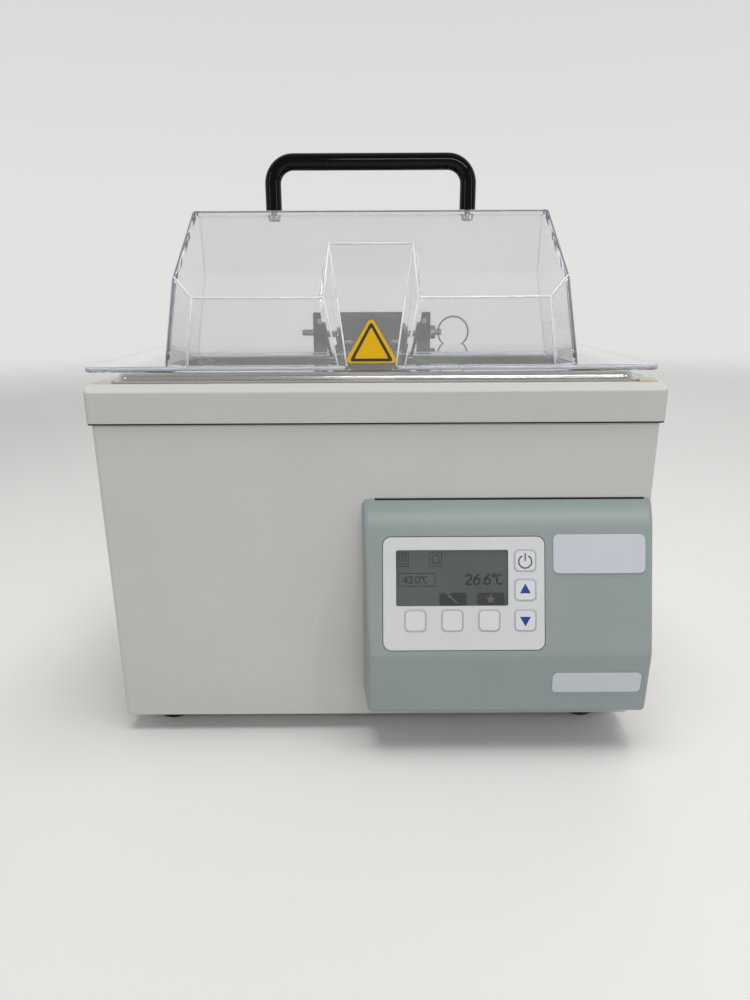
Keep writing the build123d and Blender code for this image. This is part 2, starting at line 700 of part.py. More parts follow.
def power_rocker():
    """Rocker drawn level, then tipped to its rest position."""
    outline = [(-4, -7.8), (4.6, -8.2), (3.2, 0), (4.6, 8.2), (-4, 7.8)]
    body = side_profile(outline, -5.2, 5.2)
    body = fillet(body.edges().filter_by(Axis.X).group_by(Axis.Y)[-1], 0.8)
    return Pos(SWITCH_X, ROCKER_Y, SWITCH_Z) * Rot(ROCKER_TILT, 0, 0) * body


def rating_plate():
    """Blank plate on the rear sheet."""
    plate = extrude(RectangleRounded(64, 40, 3), 0.4)
    return Pos(72, BACK + 0.4, 110) * Rot(90, 0, 0) * plate


# ---------------------------------------------------------------- control housing
OVERLAY = (3.8, 100.8, 3.4, 71.4)
OVERLAY_CORNER = 5.0
OVERLAY_BACK = -0.8
OVERLAY_FRONT = 0.2
OVERLAY_GAP = 0.5
OVERLAY_TRENCH = -1.6
HOUSING_CREASE_ROUND = 8.0
HOUSING_FOOT_ROUND = 4.0
HOUSING_SIDE_ROUND = 3.0
PLATE_THICK = 0.7
PLATE_ROUND = 0.3
WINDOW = (11.6, 79.0, 11.2, 44.9)
MODULE = (9.7, 80.9, 9.4, 46.7)
MODULE_RIM = 1.5
MODULE_FRONT = -0.9
MODULE_SINK = 0.6
KEYS = {
    "key_power": (89.2, 17.8),
    "key_up": (89.2, 35.4),
    "key_down": (89.2, 53.6),
    "key_soft_left": (23.1, 53.6),
    "key_soft_middle": (45.3, 53.6),
    "key_soft_right": (67.5, 53.6),
}
CONTROL_BOARD = (3.0, 98.0, 8.0, 66.0)
CONTROL_BOARD_OUT = -9.0
BOARD_BOSSES = [(x, down) for x in (6.5, 95.2) for down in (11.0, 62.5)]
STEM = 8.0
STEM_END = -4.6
UPPER_PLATE = (55.4, 23.4, 3.5)
UPPER_PLATE_PLACE = (133.7, 13.9)
LOWER_PLATE = (54.0, 13.4, 3.0)
LOWER_PLATE_PLACE = (133.6, 0.54)
RIBBON_DOWN = 58.0
RIBBON_OUT = -16.2


def housing_profile():
    """Side outline of the housing as a face: slanted front, curved brow, short chin."""
    brow_end = (0.0, PANEL_TOP)
    brow_bulge = (-5.3, 151.6)
    lines = Polyline((5, PANEL_BOTTOM), PANEL_FOOT, FACE_CREASE, FACE_TOP)
    lines += ThreePointArc(FACE_TOP, brow_bulge, brow_end)
    lines += Polyline(brow_end, (5, PANEL_TOP), (5, PANEL_BOTTOM))
    return make_face(lines)


def housing_side_planes(inset):
    """Outer planes of the housing's drafted sides, wider apart at the casing than at the crease."""
    front_y = FACE_CREASE[0]
    planes = []
    for side, front_x, foot_x in ((-1, PANEL_LEFT, PANEL_LEFT_FOOT), (1, PANEL_RIGHT, PANEL_RIGHT_FOOT)):
        out = Vector(-side * front_y, side * (front_x - foot_x), 0).normalized()
        planes.append(Plane(origin=Vector(front_x, front_y, 0) - out * inset, z_dir=out))
    return planes


def housing_solid(inset):
    """Solid housing, or with an inset the space inside its walls."""
    outline = housing_profile()
    if inset:
        outline = offset(outline, -inset, kind=Kind.INTERSECTION)
    body = Pos(PANEL_LEFT - 20, 0, 0) * extrude(Plane.YZ * outline, PANEL_RIGHT - PANEL_LEFT + 40)
    for plane in housing_side_planes(inset):
        body = split(body, bisect_by=plane, keep=Keep.BOTTOM)
    return body


def is_side_edge(edge):
    """True for an edge that lies in one of the housing's sides, forward of the casing."""
    middle = edge.center()
    gaps = [abs((middle - plane.origin).dot(plane.z_dir)) for plane in housing_side_planes(0)]
    return min(gaps) < 0.05 and middle.Y < 0.5


def control_housing():
    """Open-backed moulding with a pocket for the key overlay, and its inner bosses."""
    body = housing_solid(0)
    body = fillet(cross_edges(body, FACE_CREASE), HOUSING_CREASE_ROUND)
    body = fillet(cross_edges(body, PANEL_FOOT), HOUSING_FOOT_ROUND)
    body = fillet([edge for edge in body.edges() if is_side_edge(edge)], HOUSING_SIDE_ROUND)
    outside = body & block(PANEL_LEFT_FOOT - 1, PANEL_RIGHT_FOOT + 1, -60, 0, 0, 200)
    body = outside - housing_solid(PANEL_WALL)

    for x, z in PANEL_SCREWS:
        body += bar_y(3.6, x, -40, 0, z) & outside
    for x, down in BOARD_BOSSES:
        post = Pos(0, 0, (CONTROL_BOARD_OUT - 1.5) / 2) * Cylinder(3.0, -CONTROL_BOARD_OUT - 1.5)
        body += on_face(x, down, 0, post)
    for x, z in PANEL_SCREWS:
        body -= bar_y(PANEL_SCREW_RADIUS + 0.1, x, -6.6, 1, z)
    for x, down in BOARD_BOSSES:
        body -= on_face(x, down, 0, Pos(0, 0, -6.5) * Cylinder(1.3, 6))

    gap = OVERLAY_GAP
    x0, x1, down0, down1 = OVERLAY
    around = (x0 - gap, x1 + gap, down0 - gap, down1 + gap)
    body -= face_slab(*around, OVERLAY_BACK, 8, OVERLAY_CORNER + gap)
    under = (x0 + gap, x1 - gap, down0 + gap, down1 - gap)
    ledge = face_slab(*under, -3, OVERLAY_BACK, OVERLAY_CORNER - gap)
    body -= face_slab(*around, OVERLAY_TRENCH, OVERLAY_BACK, OVERLAY_CORNER + gap) - ledge
    x0, x1, down0, down1 = MODULE
    body -= face_slab(x0 - 0.2, x1 + 0.2, down0 - 0.2, down1 + 0.2, -4, 1, 1.0)
    hole = STEM / 2 + 0.3
    for x, down in KEYS.values():
        body -= face_slab(x - hole, x + hole, down - hole, down + hole, -4, 1, 2.3)
    return body


def cross_edges(body, corner):
    """Edges along x through a (y, z) corner of the housing's outline."""
    along = body.edges().filter_by(Axis.X)
    return [edge for edge in along if math.dist(corner, (edge.center().Y, edge.center().Z)) < 1]


def key_overlay():
    """White front film with cut-outs for the window and the keys."""
    film = face_slab(*OVERLAY, OVERLAY_BACK, OVERLAY_FRONT, OVERLAY_CORNER)
    film -= face_slab(*WINDOW, OVERLAY_BACK - 1, OVERLAY_FRONT + 1, 1.2)
    hole = KEY_SIZE / 2 + 0.15
    for x, down in KEYS.values():
        film -= face_slab(x - hole, x + hole, down - hole, down + hole, -2, 1, KEY_CORNER)
    return film


def key_cap(x, down):
    """Key cap flush in the overlay, with the stem that reaches its switch."""
    half = KEY_SIZE / 2
    cap = face_slab(x - half, x + half, down - half, down + half, -0.15, 0.45, KEY_CORNER)
    cap = fillet(cap.edges().group_by(Axis(cap.center(), FACE.z_dir))[-1], 0.25)
    stem = STEM / 2
    return cap + face_slab(x - stem, x + stem, down - stem, down + stem, STEM_END, -0.15, 2.0)


def display_window():
    """Clear lens over the display, backed by the module's frame."""
    x0, x1, down0, down1 = WINDOW
    gap = 0.1
    return face_slab(x0 + gap, x1 - gap, down0 + gap, down1 - gap, OVERLAY_BACK, 0.1, 1.1)


def display_module():
    """Display in its metal frame, with the viewing glass set in."""
    x0, x1, down0, down1 = MODULE
    frame = face_slab(x0, x1, down0, down1, CONTROL_BOARD_OUT, MODULE_FRONT, 0.8)
    rim = MODULE_RIM
    glass = (x0 + rim, x1 - rim, down0 + rim, down1 - rim)
    return frame - face_slab(*glass, MODULE_FRONT - MODULE_SINK, MODULE_FRONT + 1, 0.5)


def control_board():
    """Board behind the control face, with its ribbon header."""
    back = CONTROL_BOARD_OUT - BOARD_THICK
    board = face_slab(*CONTROL_BOARD, back, CONTROL_BOARD_OUT, 1.0)
    for x, down in BOARD_BOSSES:
        board -= on_face(x, down, 0, Pos(0, 0, back) * Cylinder(1.5, 6))
    x0, x1 = RIBBON_X
    return board + face_slab(x0 - 1, x1 + 1, RIBBON_DOWN - 2.5, RIBBON_DOWN + 2.5, RIBBON_OUT, back, 0.4)


def key_switches():
    """One small push switch under each key."""
    parts = []
    for x, down in KEYS.values():
        body = face_slab(x - 3, x + 3, down - 3, down + 3, CONTROL_BOARD_OUT, -5.9, 0.4)
        parts.append(body + on_face(x, down, -5.55, Cylinder(1.6, 0.7)))
    return parts


def control_board_screws():
    """Four short screws that hold the board to its posts."""
    back = CONTROL_BOARD_OUT - BOARD_THICK
    part = Rot(180, 0, 0) * screw(1.2, 5.0, 1.0)
    return [on_face(x, down, back, part) for x, down in BOARD_BOSSES]


def housing_screws():
    """Four screws from inside the casing into the housing."""
    part = screw(PANEL_SCREW_RADIUS, 7.0, 2.0)
    return [Pos(x, SHEET, z) * Rot(-90, 0, 0) * part for x, z in PANEL_SCREWS]


def upper_nameplate():
    """Blank plate beside the overlay."""
    return on_face(*UPPER_PLATE_PLACE, 0, domed_plate(*UPPER_PLATE))


def lower_nameplate():
    """Blank plate on the housing's lower face."""
    x, height = LOWER_PLATE_PLACE
    foot, crease = Vector(x, *PANEL_FOOT), Vector(x, *FACE_CREASE)
    up = crease - foot
    lean = Plane(origin=foot + up * height, x_dir=(1, 0, 0), z_dir=Vector(1, 0, 0).cross(up))
    return lean * domed_plate(*LOWER_PLATE)


def domed_plate(width, height, corner):
    """Thin plate with rounded corners and a soft upper edge."""
    plate = extrude(RectangleRounded(width, height, corner), PLATE_THICK)
    return fillet(plate.edges().group_by(Axis.Z)[-1], PLATE_ROUND)


# ---------------------------------------------------------------- lid
WALL_FRONT = 14.3
CREASE = (16.5, 278.0)
BACK_WALL = 106.0
BACK_EDGE_Z = 293.0
END_HALF = 126.3
END_LEAN = 0.161
FRONT_HALF = 110.6
CREASE_HALF = 106.0
FACET_Y = 26.0
RECESS_SECTIONS = [
    # z, half width and y of the back plane, half width at the front
    (LID_BOTTOM - 20, 15.5, 18.0, 35.2),
    (LID_FLANGE_TOP, 15.5, 18.0, 35.2),
    (CREASE[1], 21.3, 32.9, 34.1),
    (320.0, 27.7, 49.3, 37.0),
]
RECESS_FRONT = 4.0
NOTCH_HALF = 13.6
NOTCH_DEPTH = 5.0
LID_STICKER = [(-16.4, 0.6), (16.4, 0.6), (0, 29.6)]
COVER_STICKER = [(152.8, 5.8), (168.2, 5.8), (160.4, 12.6)]
STICKER_THICK = 0.25


def dome_planes():
    """Bounding planes of the dome: a point on each, and its outward normal."""
    crease_y, crease_z = CREASE
    rise = crease_z - LID_FLANGE_TOP
    facet_a = Vector(FRONT_HALF, WALL_FRONT, LID_FLANGE_TOP)
    facet_b = Vector(END_HALF, FACET_Y, LID_FLANGE_TOP)
    facet_c = Vector(CREASE_HALF, crease_y, crease_z)
    facet = (facet_b - facet_a).cross(facet_c - facet_a)
    planes = [
        ((0, crease_y, crease_z), (0, -rise, crease_y - WALL_FRONT)),
        ((0, crease_y, crease_z), (0, crease_z - RIDGE_Z, RIDGE_FRONT - crease_y)),
        ((0, RIDGE_Y, RIDGE_Z), (0, 0, 1)),
        ((0, BACK_WALL, BACK_EDGE_Z), (0, RIDGE_Z - BACK_EDGE_Z, BACK_WALL - RIDGE_BACK)),
        ((0, BACK_WALL, BACK_EDGE_Z), (0, 1, 0.01)),
    ]
    for side in (-1, 1):
        planes.append(((side * END_HALF, 0, LID_FLANGE_TOP), (side, 0, END_LEAN)))
        planes.append(((side * facet_a.X, facet_a.Y, facet_a.Z), (side * facet.X, facet.Y, facet.Z)))
    return planes


def dome(inset, bottom, edge_radius):
    """Faceted dome as a solid; an inset moves every plane inwards."""
    solid = block(-200, 200, -20, 200, bottom, 400)
    for point, normal in dome_planes():
        out = Vector(*normal).normalized()
        plane = Plane(origin=Vector(*point) - out * inset, z_dir=out)
        solid = split(solid, bisect_by=plane, keep=Keep.BOTTOM)
    return fillet(upper_edges(solid, bottom + 1), edge_radius)


def recess(grow):
    """Wedge cut out of the dome's front; grow makes room for the wall around it."""
    sections = []
    for z, back_half, back_y, front_half in RECESS_SECTIONS:
        back_half += grow
        front_half += grow
        corners = [(-back_half, back_y + grow), (back_half, back_y + grow)]
        corners += [(front_half, RECESS_FRONT), (-front_half, RECESS_FRONT)]
        sections.append(Pos(0, 0, z) * make_face(Polyline(*corners, close=True)))
    return loft(sections, ruled=True)


def lid_shell():
    """Clear lid: flange, thin-walled dome, front recess and the notch below it."""
    shell = dome(0, LID_BOTTOM, 3.0) - recess(0)
    flange = slab(LID_LENGTH, LID_BACK - LID_FRONT, LID_CORNER, LID_BOTTOM, LID_FLANGE_TOP, y=LID_Y)
    flange = fillet(flange.edges().group_by(Axis.Z)[-1], 0.9)
    shell += flange
    shell -= dome(LID_WALL, LID_BOTTOM - 10, 1.0) - recess(LID_WALL)
    notch = slab(2 * NOTCH_HALF, 2 * NOTCH_DEPTH, 2.0, LID_BOTTOM - 1, LID_FLANGE_TOP + 1, y=LID_FRONT)
    shell -= notch
    for x, y in HANDLE_FEET:
        shell -= disc(2.1, x, y, RIDGE_Z - 10, RIDGE_Z + 1)
    for x, y in LEAF_SCREWS:
        shell -= disc(1.7, x, y, LID_BOTTOM - 1, LID_FLANGE_TOP + 1)
    return shell + disc(1.8, 0, RIDGE_Y, RIDGE_Z - 0.5, RIDGE_Z + 0.7)


HANDLE_FEET = [(side * HANDLE_SPAN / 2, RIDGE_Y) for side in (-1, 1)]
LEAF_SCREWS = [(x, 156.0) for x in (-18.0, 0.0, 18.0)]


def lid_handle():
    """Bent rod, tapped at both feet."""
    half = HANDLE_SPAN / 2
    top = HANDLE_TOP - HANDLE_ROD / 2
    route = [(-half, RIDGE_Y, RIDGE_Z), (-half, RIDGE_Y, top), (half, RIDGE_Y, top), (half, RIDGE_Y, RIDGE_Z)]
    rod = tube(route, HANDLE_BEND, HANDLE_ROD / 2)
    for x, y in HANDLE_FEET:
        rod -= disc(2.1, x, y, RIDGE_Z - 1, RIDGE_Z + 12)
    return rod


def handle_screws():
    """Washer and screw under the ridge at each foot of the handle."""
    under = RIDGE_Z - LID_WALL
    parts = []
    for x, y in HANDLE_FEET:
        washer = disc(4.2, x, y, under - 1.0, under) - disc(2.1, x, y, under - 2, under + 1)
        parts.append(washer)
        parts.append(Pos(x, y, under - 1.0) * Rot(180, 0, 0) * screw(2.0, 13.0, 2.4))
    return parts


def hinge_leaf():
    """Black leaf on the lid's rear flange, with the barrel around the pin."""
    outline = [
        (146, LID_FLANGE_TOP),
        (146, LID_FLANGE_TOP + 3),
        (170, LID_FLANGE_TOP + 3),
        (HINGE_Y - 8, HINGE_Z + 8),
        (HINGE_Y - 8, HINGE_TOP),
        (HINGE_Y + 8, HINGE_TOP),
        (HINGE_Y + 8, LID_FLANGE_TOP),
    ]
    leaf = side_profile(outline, -LEAF_HALF, LEAF_HALF)
    rounded = [e for e in leaf.edges().filter_by(Axis.X) if e.center().Y > HINGE_Y - 9]
    rounded = [e for e in rounded if e.center().Z > HINGE_Z + 9 or e.center().Y > HINGE_Y]
    leaf = fillet(rounded, 4.5)
    leaf -= bar_x(PIN_RADIUS + PIN_PLAY, -LEAF_HALF - 1, LEAF_HALF + 1, HINGE_Y, HINGE_Z)
    for x, y in LEAF_SCREWS:
        leaf -= disc(1.7, x, y, LID_FLANGE_TOP - 1, LID_FLANGE_TOP + 4)
    return leaf


def leaf_screws():
    """Screws down through the leaf and flange, with nuts below."""
    parts = []
    for x, y in LEAF_SCREWS:
        parts.append(Pos(x, y, LID_FLANGE_TOP + 3) * screw(1.6, 8.0, 2.0))
        nut = extrude(RegularPolygon(3.0, 6), 1.8) - Pos(0, 0, 0.9) * Cylinder(1.65, 1.8)
        parts.append(Pos(x, y, LID_BOTTOM - 1.8) * nut)
    return parts


def lid_sticker():
    """Thin rounded triangle on the recess's slanted plane."""
    low_y, low_z = RECESS_SECTIONS[1][2], RECESS_SECTIONS[1][0]
    high_y, high_z = RECESS_SECTIONS[2][2], RECESS_SECTIONS[2][0]
    length = math.dist((low_y, low_z), (high_y, high_z))
    rise, run = (high_z - low_z) / length, (high_y - low_y) / length
    plane = Plane(origin=(0, low_y, low_z), x_dir=(1, 0, 0), z_dir=(0, -rise, run))
    outline = make_face(Polyline(*LID_STICKER, close=True))
    outline = fillet(outline.vertices(), 2.2)
    return plane * extrude(outline, STICKER_THICK)


def cover_sticker():
    """Small triangle flat on the cover, round the corner of the tank's flange."""
    outline = make_face(Polyline(*COVER_STICKER, close=True))
    outline = fillet(outline.vertices(), 1.0)
    return Pos(0, 0, COVER_TOP) * extrude(outline, STICKER_THICK)


# ---------------------------------------------------------------- rear hinge
BRACKET_SCREWS = (-52.3, -32.0, 32.0, 52.3)
EAR_HALF_DEPTH = 6.5
EAR_ROUND = 4.0
SET_SCREW_RISE = 9.0
SET_SCREW_RADIUS = 1.3
SET_SCREW_SINK = 1.8
SET_SCREW_LENGTH = 5.0
BRACKET_BASE = 3.0
COLLAR = (47.8, 52.0)
COLLAR_RADIUS = 5.5
RING_RADIUS = 12.3
RING_WIRE = 0.75
EYE_X = 54.3
EYE_RADIUS = 1.5


def hinge_bracket():
    """Base on the cover's rear deck with two ears for the pin."""
    base_top = COVER_TOP + BRACKET_BASE
    body = slab(114, 20, 3, COVER_TOP, base_top, y=HINGE_Y - 2)
    for side in (-1, 1):
        x0, x1 = sorted((side * EAR_INNER, side * EAR_OUTER))
        ear = block(x0, x1, HINGE_Y - EAR_HALF_DEPTH, HINGE_Y + EAR_HALF_DEPTH, COVER_TOP, HINGE_TOP)
        ear = fillet(ear.edges().filter_by(Axis.X).group_by(Axis.Z)[-1], EAR_ROUND)
        ear -= bar_x(PIN_RADIUS + PIN_PLAY, x0 - 1, x1 + 1, HINGE_Y, HINGE_Z)
        screw_x, screw_z = (x0 + x1) / 2, HINGE_Z + SET_SCREW_RISE
        sink_y = HINGE_Y - EAR_HALF_DEPTH + SET_SCREW_SINK
        head_radius = SET_SCREW_RADIUS * SCREW_HEAD_RATIO + 0.15
        ear -= bar_y(head_radius, screw_x, HINGE_Y - 9, sink_y, screw_z)
        ear -= bar_y(SET_SCREW_RADIUS + 0.1, screw_x, sink_y, sink_y + SET_SCREW_LENGTH, screw_z)
        body += ear
    for x in BRACKET_SCREWS:
        body -= disc(2.0, x, HINGE_Y, COVER_TOP - 1, base_top + 1)
    return Pos(HINGE_X, 0, 0) * body


def bracket_screws():
    """Four screws into the cover, and one set screw in the front of each ear."""
    top = COVER_TOP + BRACKET_BASE
    down = screw(1.7, 9.0, 2.2)
    parts = [Pos(HINGE_X + x, HINGE_Y, top) * down for x in BRACKET_SCREWS]
    ear_x = (EAR_INNER + EAR_OUTER) / 2
    front = Rot(90, 0, 0) * screw(SET_SCREW_RADIUS, SET_SCREW_LENGTH, 1.6)
    sink_y = HINGE_Y - EAR_HALF_DEPTH + SET_SCREW_SINK
    for side in (-1, 1):
        parts.append(Pos(HINGE_X + side * ear_x, sink_y, HINGE_Z + SET_SCREW_RISE) * front)
    return parts


def hinge_pin():
    """Pull-out pin with a collar against the ear and a cross hole for the ring."""
    body = bar_x(PIN_RADIUS, -PIN_REACH, PIN_REACH, HINGE_Y, HINGE_Z)
    ends = body.edges().sort_by(Axis.X)
    body = chamfer([ends[0], ends[-1]], 0.6)
    collar = bar_x(COLLAR_RADIUS, *COLLAR, HINGE_Y, HINGE_Z)
    collar = fillet(collar.edges().group_by(Axis.X)[-1], 0.8)
    body += collar
    return Pos(HINGE_X, 0, 0) * (body - disc(EYE_RADIUS, EYE_X, HINGE_Y, HINGE_Z - 6, HINGE_Z + 6))


def pull_ring():
    """Wire ring through the pin's cross hole."""
    ring = Rot(90, 0, 0) * Torus(RING_RADIUS, RING_WIRE)
    return Pos(HINGE_X + EYE_X + RING_RADIUS, HINGE_Y, HINGE_Z) * ring


# ---------------------------------------------------------------- nodes
def main():
    """Write every node."""
    os.makedirs("parts", exist_ok=True)
    on_lid = Pos(LID_X, 0, 0)

    save("casing", casing())
    save("base_plate", base_plate())
    for name, (x, y) in FEET.items():
        save(name, foot(x, y))
    save("foot_screws", *[part for x, y in FEET.values() for part in foot_fastener(x, y)])
    save("base_screws", *base_screws())
    save("top_cover", top_cover())
    save("cover_screws", *cover_screws())
    save("case_seals", *case_seals())
    save("rim_gasket", rim_ring(RIM_FLANGE - 0.8, 2.5, COVER_TOP, COVER_TOP + GASKET))
    save("tank", tank())
    save("tank_insulation", *tank_insulation())
    save("heater_pad", heater_pad())
    save("temperature_probe", *temperature_probe())
    save("thermal_cutout", thermal_cutout())
    save("diffuser_tray", diffuser_tray())

    save("board_standoffs", *board_standoffs())
    save("power_board", power_board())
    save("board_heatsink", board_heatsink())
    save("terminal_block", terminal_block())
    save("heater_leads", *heater_leads())
    save("mains_leads", *mains_leads())
    save("ribbon_cable", ribbon_cable())

    save("mains_inlet", mains_inlet())
    save("inlet_pins", *inlet_pins())
    save("inlet_screws", *inlet_screws())
    save("fuse_drawer", fuse_drawer())
    save("fuses", *fuses())
    save("switch_frame", switch_frame())
    save("power_rocker", power_rocker())
    save("rating_plate", rating_plate())

    save("control_housing", control_housing())
    save("housing_screws", *housing_screws())
    save("key_overlay", key_overlay())
    for name, (x, down) in KEYS.items():
        save(name, key_cap(x, down))
    save("display_window", display_window())
    save("display_module", display_module())
    save("control_board", control_board())
    save("key_switches", *key_switches())
    save("control_board_screws", *control_board_screws())
    save("upper_nameplate", upper_nameplate())
    save("lower_nameplate", lower_nameplate())

    save("lid_shell", on_lid * lid_shell())
    save("lid_handle", on_lid * lid_handle())
    save("handle_screws", *[on_lid * part for part in handle_screws()])
    save("hinge_leaf", on_lid * hinge_leaf())
    save("leaf_screws", *[on_lid * part for part in leaf_screws()])
    save("lid_sticker", on_lid * lid_sticker())
    save("cover_sticker", cover_sticker())

    save("hinge_bracket", hinge_bracket())
    save("bracket_screws", *bracket_screws())
    save("hinge_pin", hinge_pin())
    save("pull_ring", pull_ring())


if __name__ == "__main__":
    main()
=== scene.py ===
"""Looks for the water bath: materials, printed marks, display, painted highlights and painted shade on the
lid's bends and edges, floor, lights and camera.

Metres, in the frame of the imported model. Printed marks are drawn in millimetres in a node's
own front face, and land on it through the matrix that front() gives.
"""

import json
import math

import bmesh
import bpy
from mathutils import Matrix, Vector


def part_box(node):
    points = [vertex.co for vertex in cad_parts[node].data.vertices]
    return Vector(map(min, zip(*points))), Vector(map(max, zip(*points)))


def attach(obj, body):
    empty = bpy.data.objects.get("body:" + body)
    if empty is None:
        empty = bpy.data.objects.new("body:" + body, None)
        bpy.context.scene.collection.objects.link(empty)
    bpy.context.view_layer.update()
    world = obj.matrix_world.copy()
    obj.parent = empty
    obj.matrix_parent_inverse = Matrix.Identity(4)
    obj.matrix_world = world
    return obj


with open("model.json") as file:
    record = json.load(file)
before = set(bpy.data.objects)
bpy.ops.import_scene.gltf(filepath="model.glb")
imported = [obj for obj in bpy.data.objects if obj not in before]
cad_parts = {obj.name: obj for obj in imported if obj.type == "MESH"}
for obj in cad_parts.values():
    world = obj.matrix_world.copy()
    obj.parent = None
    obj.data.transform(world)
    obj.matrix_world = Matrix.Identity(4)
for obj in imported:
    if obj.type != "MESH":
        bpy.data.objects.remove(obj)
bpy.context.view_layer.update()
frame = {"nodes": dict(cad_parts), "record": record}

MM = 0.001
SLOT_OF = {part["node"]: part["material_slot"] for part in frame["record"]["subparts"]}
BODY_OF = {node: body for body, nodes in frame["record"]["behaviour"]["bodies"].items() for node in nodes}


# ---------------------------------------------------------------- materials
def add(tree, kind, **inputs):
    """A shader node with some of its inputs set or linked."""
    node = tree.nodes.new(kind)
    for name, value in inputs.items():
        socket = node.inputs[name.replace("_", " ")]
        if isinstance(value, bpy.types.NodeSocket):
            tree.links.new(value, socket)
        else:
            socket.default_value = value
    return node


def colour(red, green, blue):
    """Linear colour from the 0-255 values seen on a screen."""
    return tuple(((value / 255 + 0.055) / 1.055) ** 2.4 for value in (red, green, blue)) + (1.0,)


def shade(value, factor):
    """A colour made lighter or darker."""
    return tuple(min(1.0, part * factor) for part in value[:3]) + (1.0,)


def texture(tree, kind, scale, stretch, detail):
    """Procedural pattern in object space, stretched along the axes."""
    place = add(tree, "ShaderNodeTexCoord").outputs["Object"]
    mapping = add(tree, "ShaderNodeMapping", Vector=place, Scale=stretch)
    vector = mapping.outputs["Vector"]
    if kind == "cells":
        node = add(tree, "ShaderNodeTexVoronoi", Vector=vector, Scale=scale)
        return node.outputs["Distance"]
    if kind == "lines":
        node = add(tree, "ShaderNodeTexWave", Vector=vector, Scale=scale, Distortion=0.4)
        return node.outputs["Fac"]
    node = add(tree, "ShaderNodeTexNoise", Vector=vector, Scale=scale, Detail=detail)
    return node.outputs["Fac"]


def material(
    name,
    tone,
    spread=0.06,
    patch=18.0,
    rough=(0.4, 0.5),
    pattern="noise",
    grain=1500.0,
    depth=0.03,
    stretch=(1.0, 1.0, 1.0),
    wear=0.0,
    **shader,
):
    """Principled material: tone in soft patches, worn edges, roughness range and fine relief.

    grain is the relief's scale per metre, depth its height in millimetres, and wear how much
    lighter the edges are. The other names are shader sockets, set to one value each.
    """
    made = bpy.data.materials.new(name)
    made.use_nodes = True
    tree = made.node_tree
    principled = tree.nodes["Principled BSDF"]
    for socket, value in shader.items():
        principled.inputs[socket.replace("_", " ")].default_value = value

    clouds = texture(tree, "noise", patch, (1.0, 1.0, 1.0), 5.0)
    ramp = add(tree, "ShaderNodeValToRGB", Fac=clouds)
    ramp.color_ramp.elements[0].position = 0.3
    ramp.color_ramp.elements[1].position = 0.7
    ramp.color_ramp.elements[0].color = shade(tone, 1 - spread)
    ramp.color_ramp.elements[1].color = shade(tone, 1 + spread)
    base = ramp.outputs["Color"]
    if wear:
        pointed = add(tree, "ShaderNodeNewGeometry").outputs["Pointiness"]
        edges = add(tree, "ShaderNodeMapRange", Value=pointed, From_Min=0.52, From_Max=0.62, To_Max=wear)
        mixed = add(tree, "ShaderNodeMixRGB", Fac=edges.outputs["Result"], Color1=base)
        mixed.inputs["Color2"].default_value = shade(tone, 1.6)
        base = mixed.outputs["Color"]
    tree.links.new(base, principled.inputs["Base Color"])

    relief = texture(tree, pattern, grain, stretch, 3.0)
    smudge = add(tree, "ShaderNodeMath", Value=clouds)
    smudge.operation = "MULTIPLY"
    tree.links.new(relief, smudge.inputs[1])
    span = add(tree, "ShaderNodeMapRange", Value=smudge.outputs["Value"], From_Min=0.1, From_Max=0.45)
    span.inputs["To Min"].default_value, span.inputs["To Max"].default_value = rough
    tree.links.new(span.outputs["Result"], principled.inputs["Roughness"])
    bump = add(tree, "ShaderNodeBump", Height=relief, Strength=0.6, Distance=depth * MM)
    tree.links.new(bump.outputs["Normal"], principled.inputs["Normal"])
    return made


def let_light_through(made, tint):
    """Shadow rays pass a clear material as tinted light, so what it covers isn't dark."""
    tree = made.node_tree
    surface = tree.nodes["Principled BSDF"].outputs["BSDF"]
    passing = add(tree, "ShaderNodeBsdfTransparent", Color=tint).outputs["BSDF"]
    shadow = add(tree, "ShaderNodeLightPath").outputs["Is Shadow Ray"]
    mixed = add(tree, "ShaderNodeMixShader", Fac=shadow)
    tree.links.new(surface, mixed.inputs[1])
    tree.links.new(passing, mixed.inputs[2])
    tree.links.new(mixed.outputs["Shader"], tree.nodes["Material Output"].inputs["Surface"])
    return made


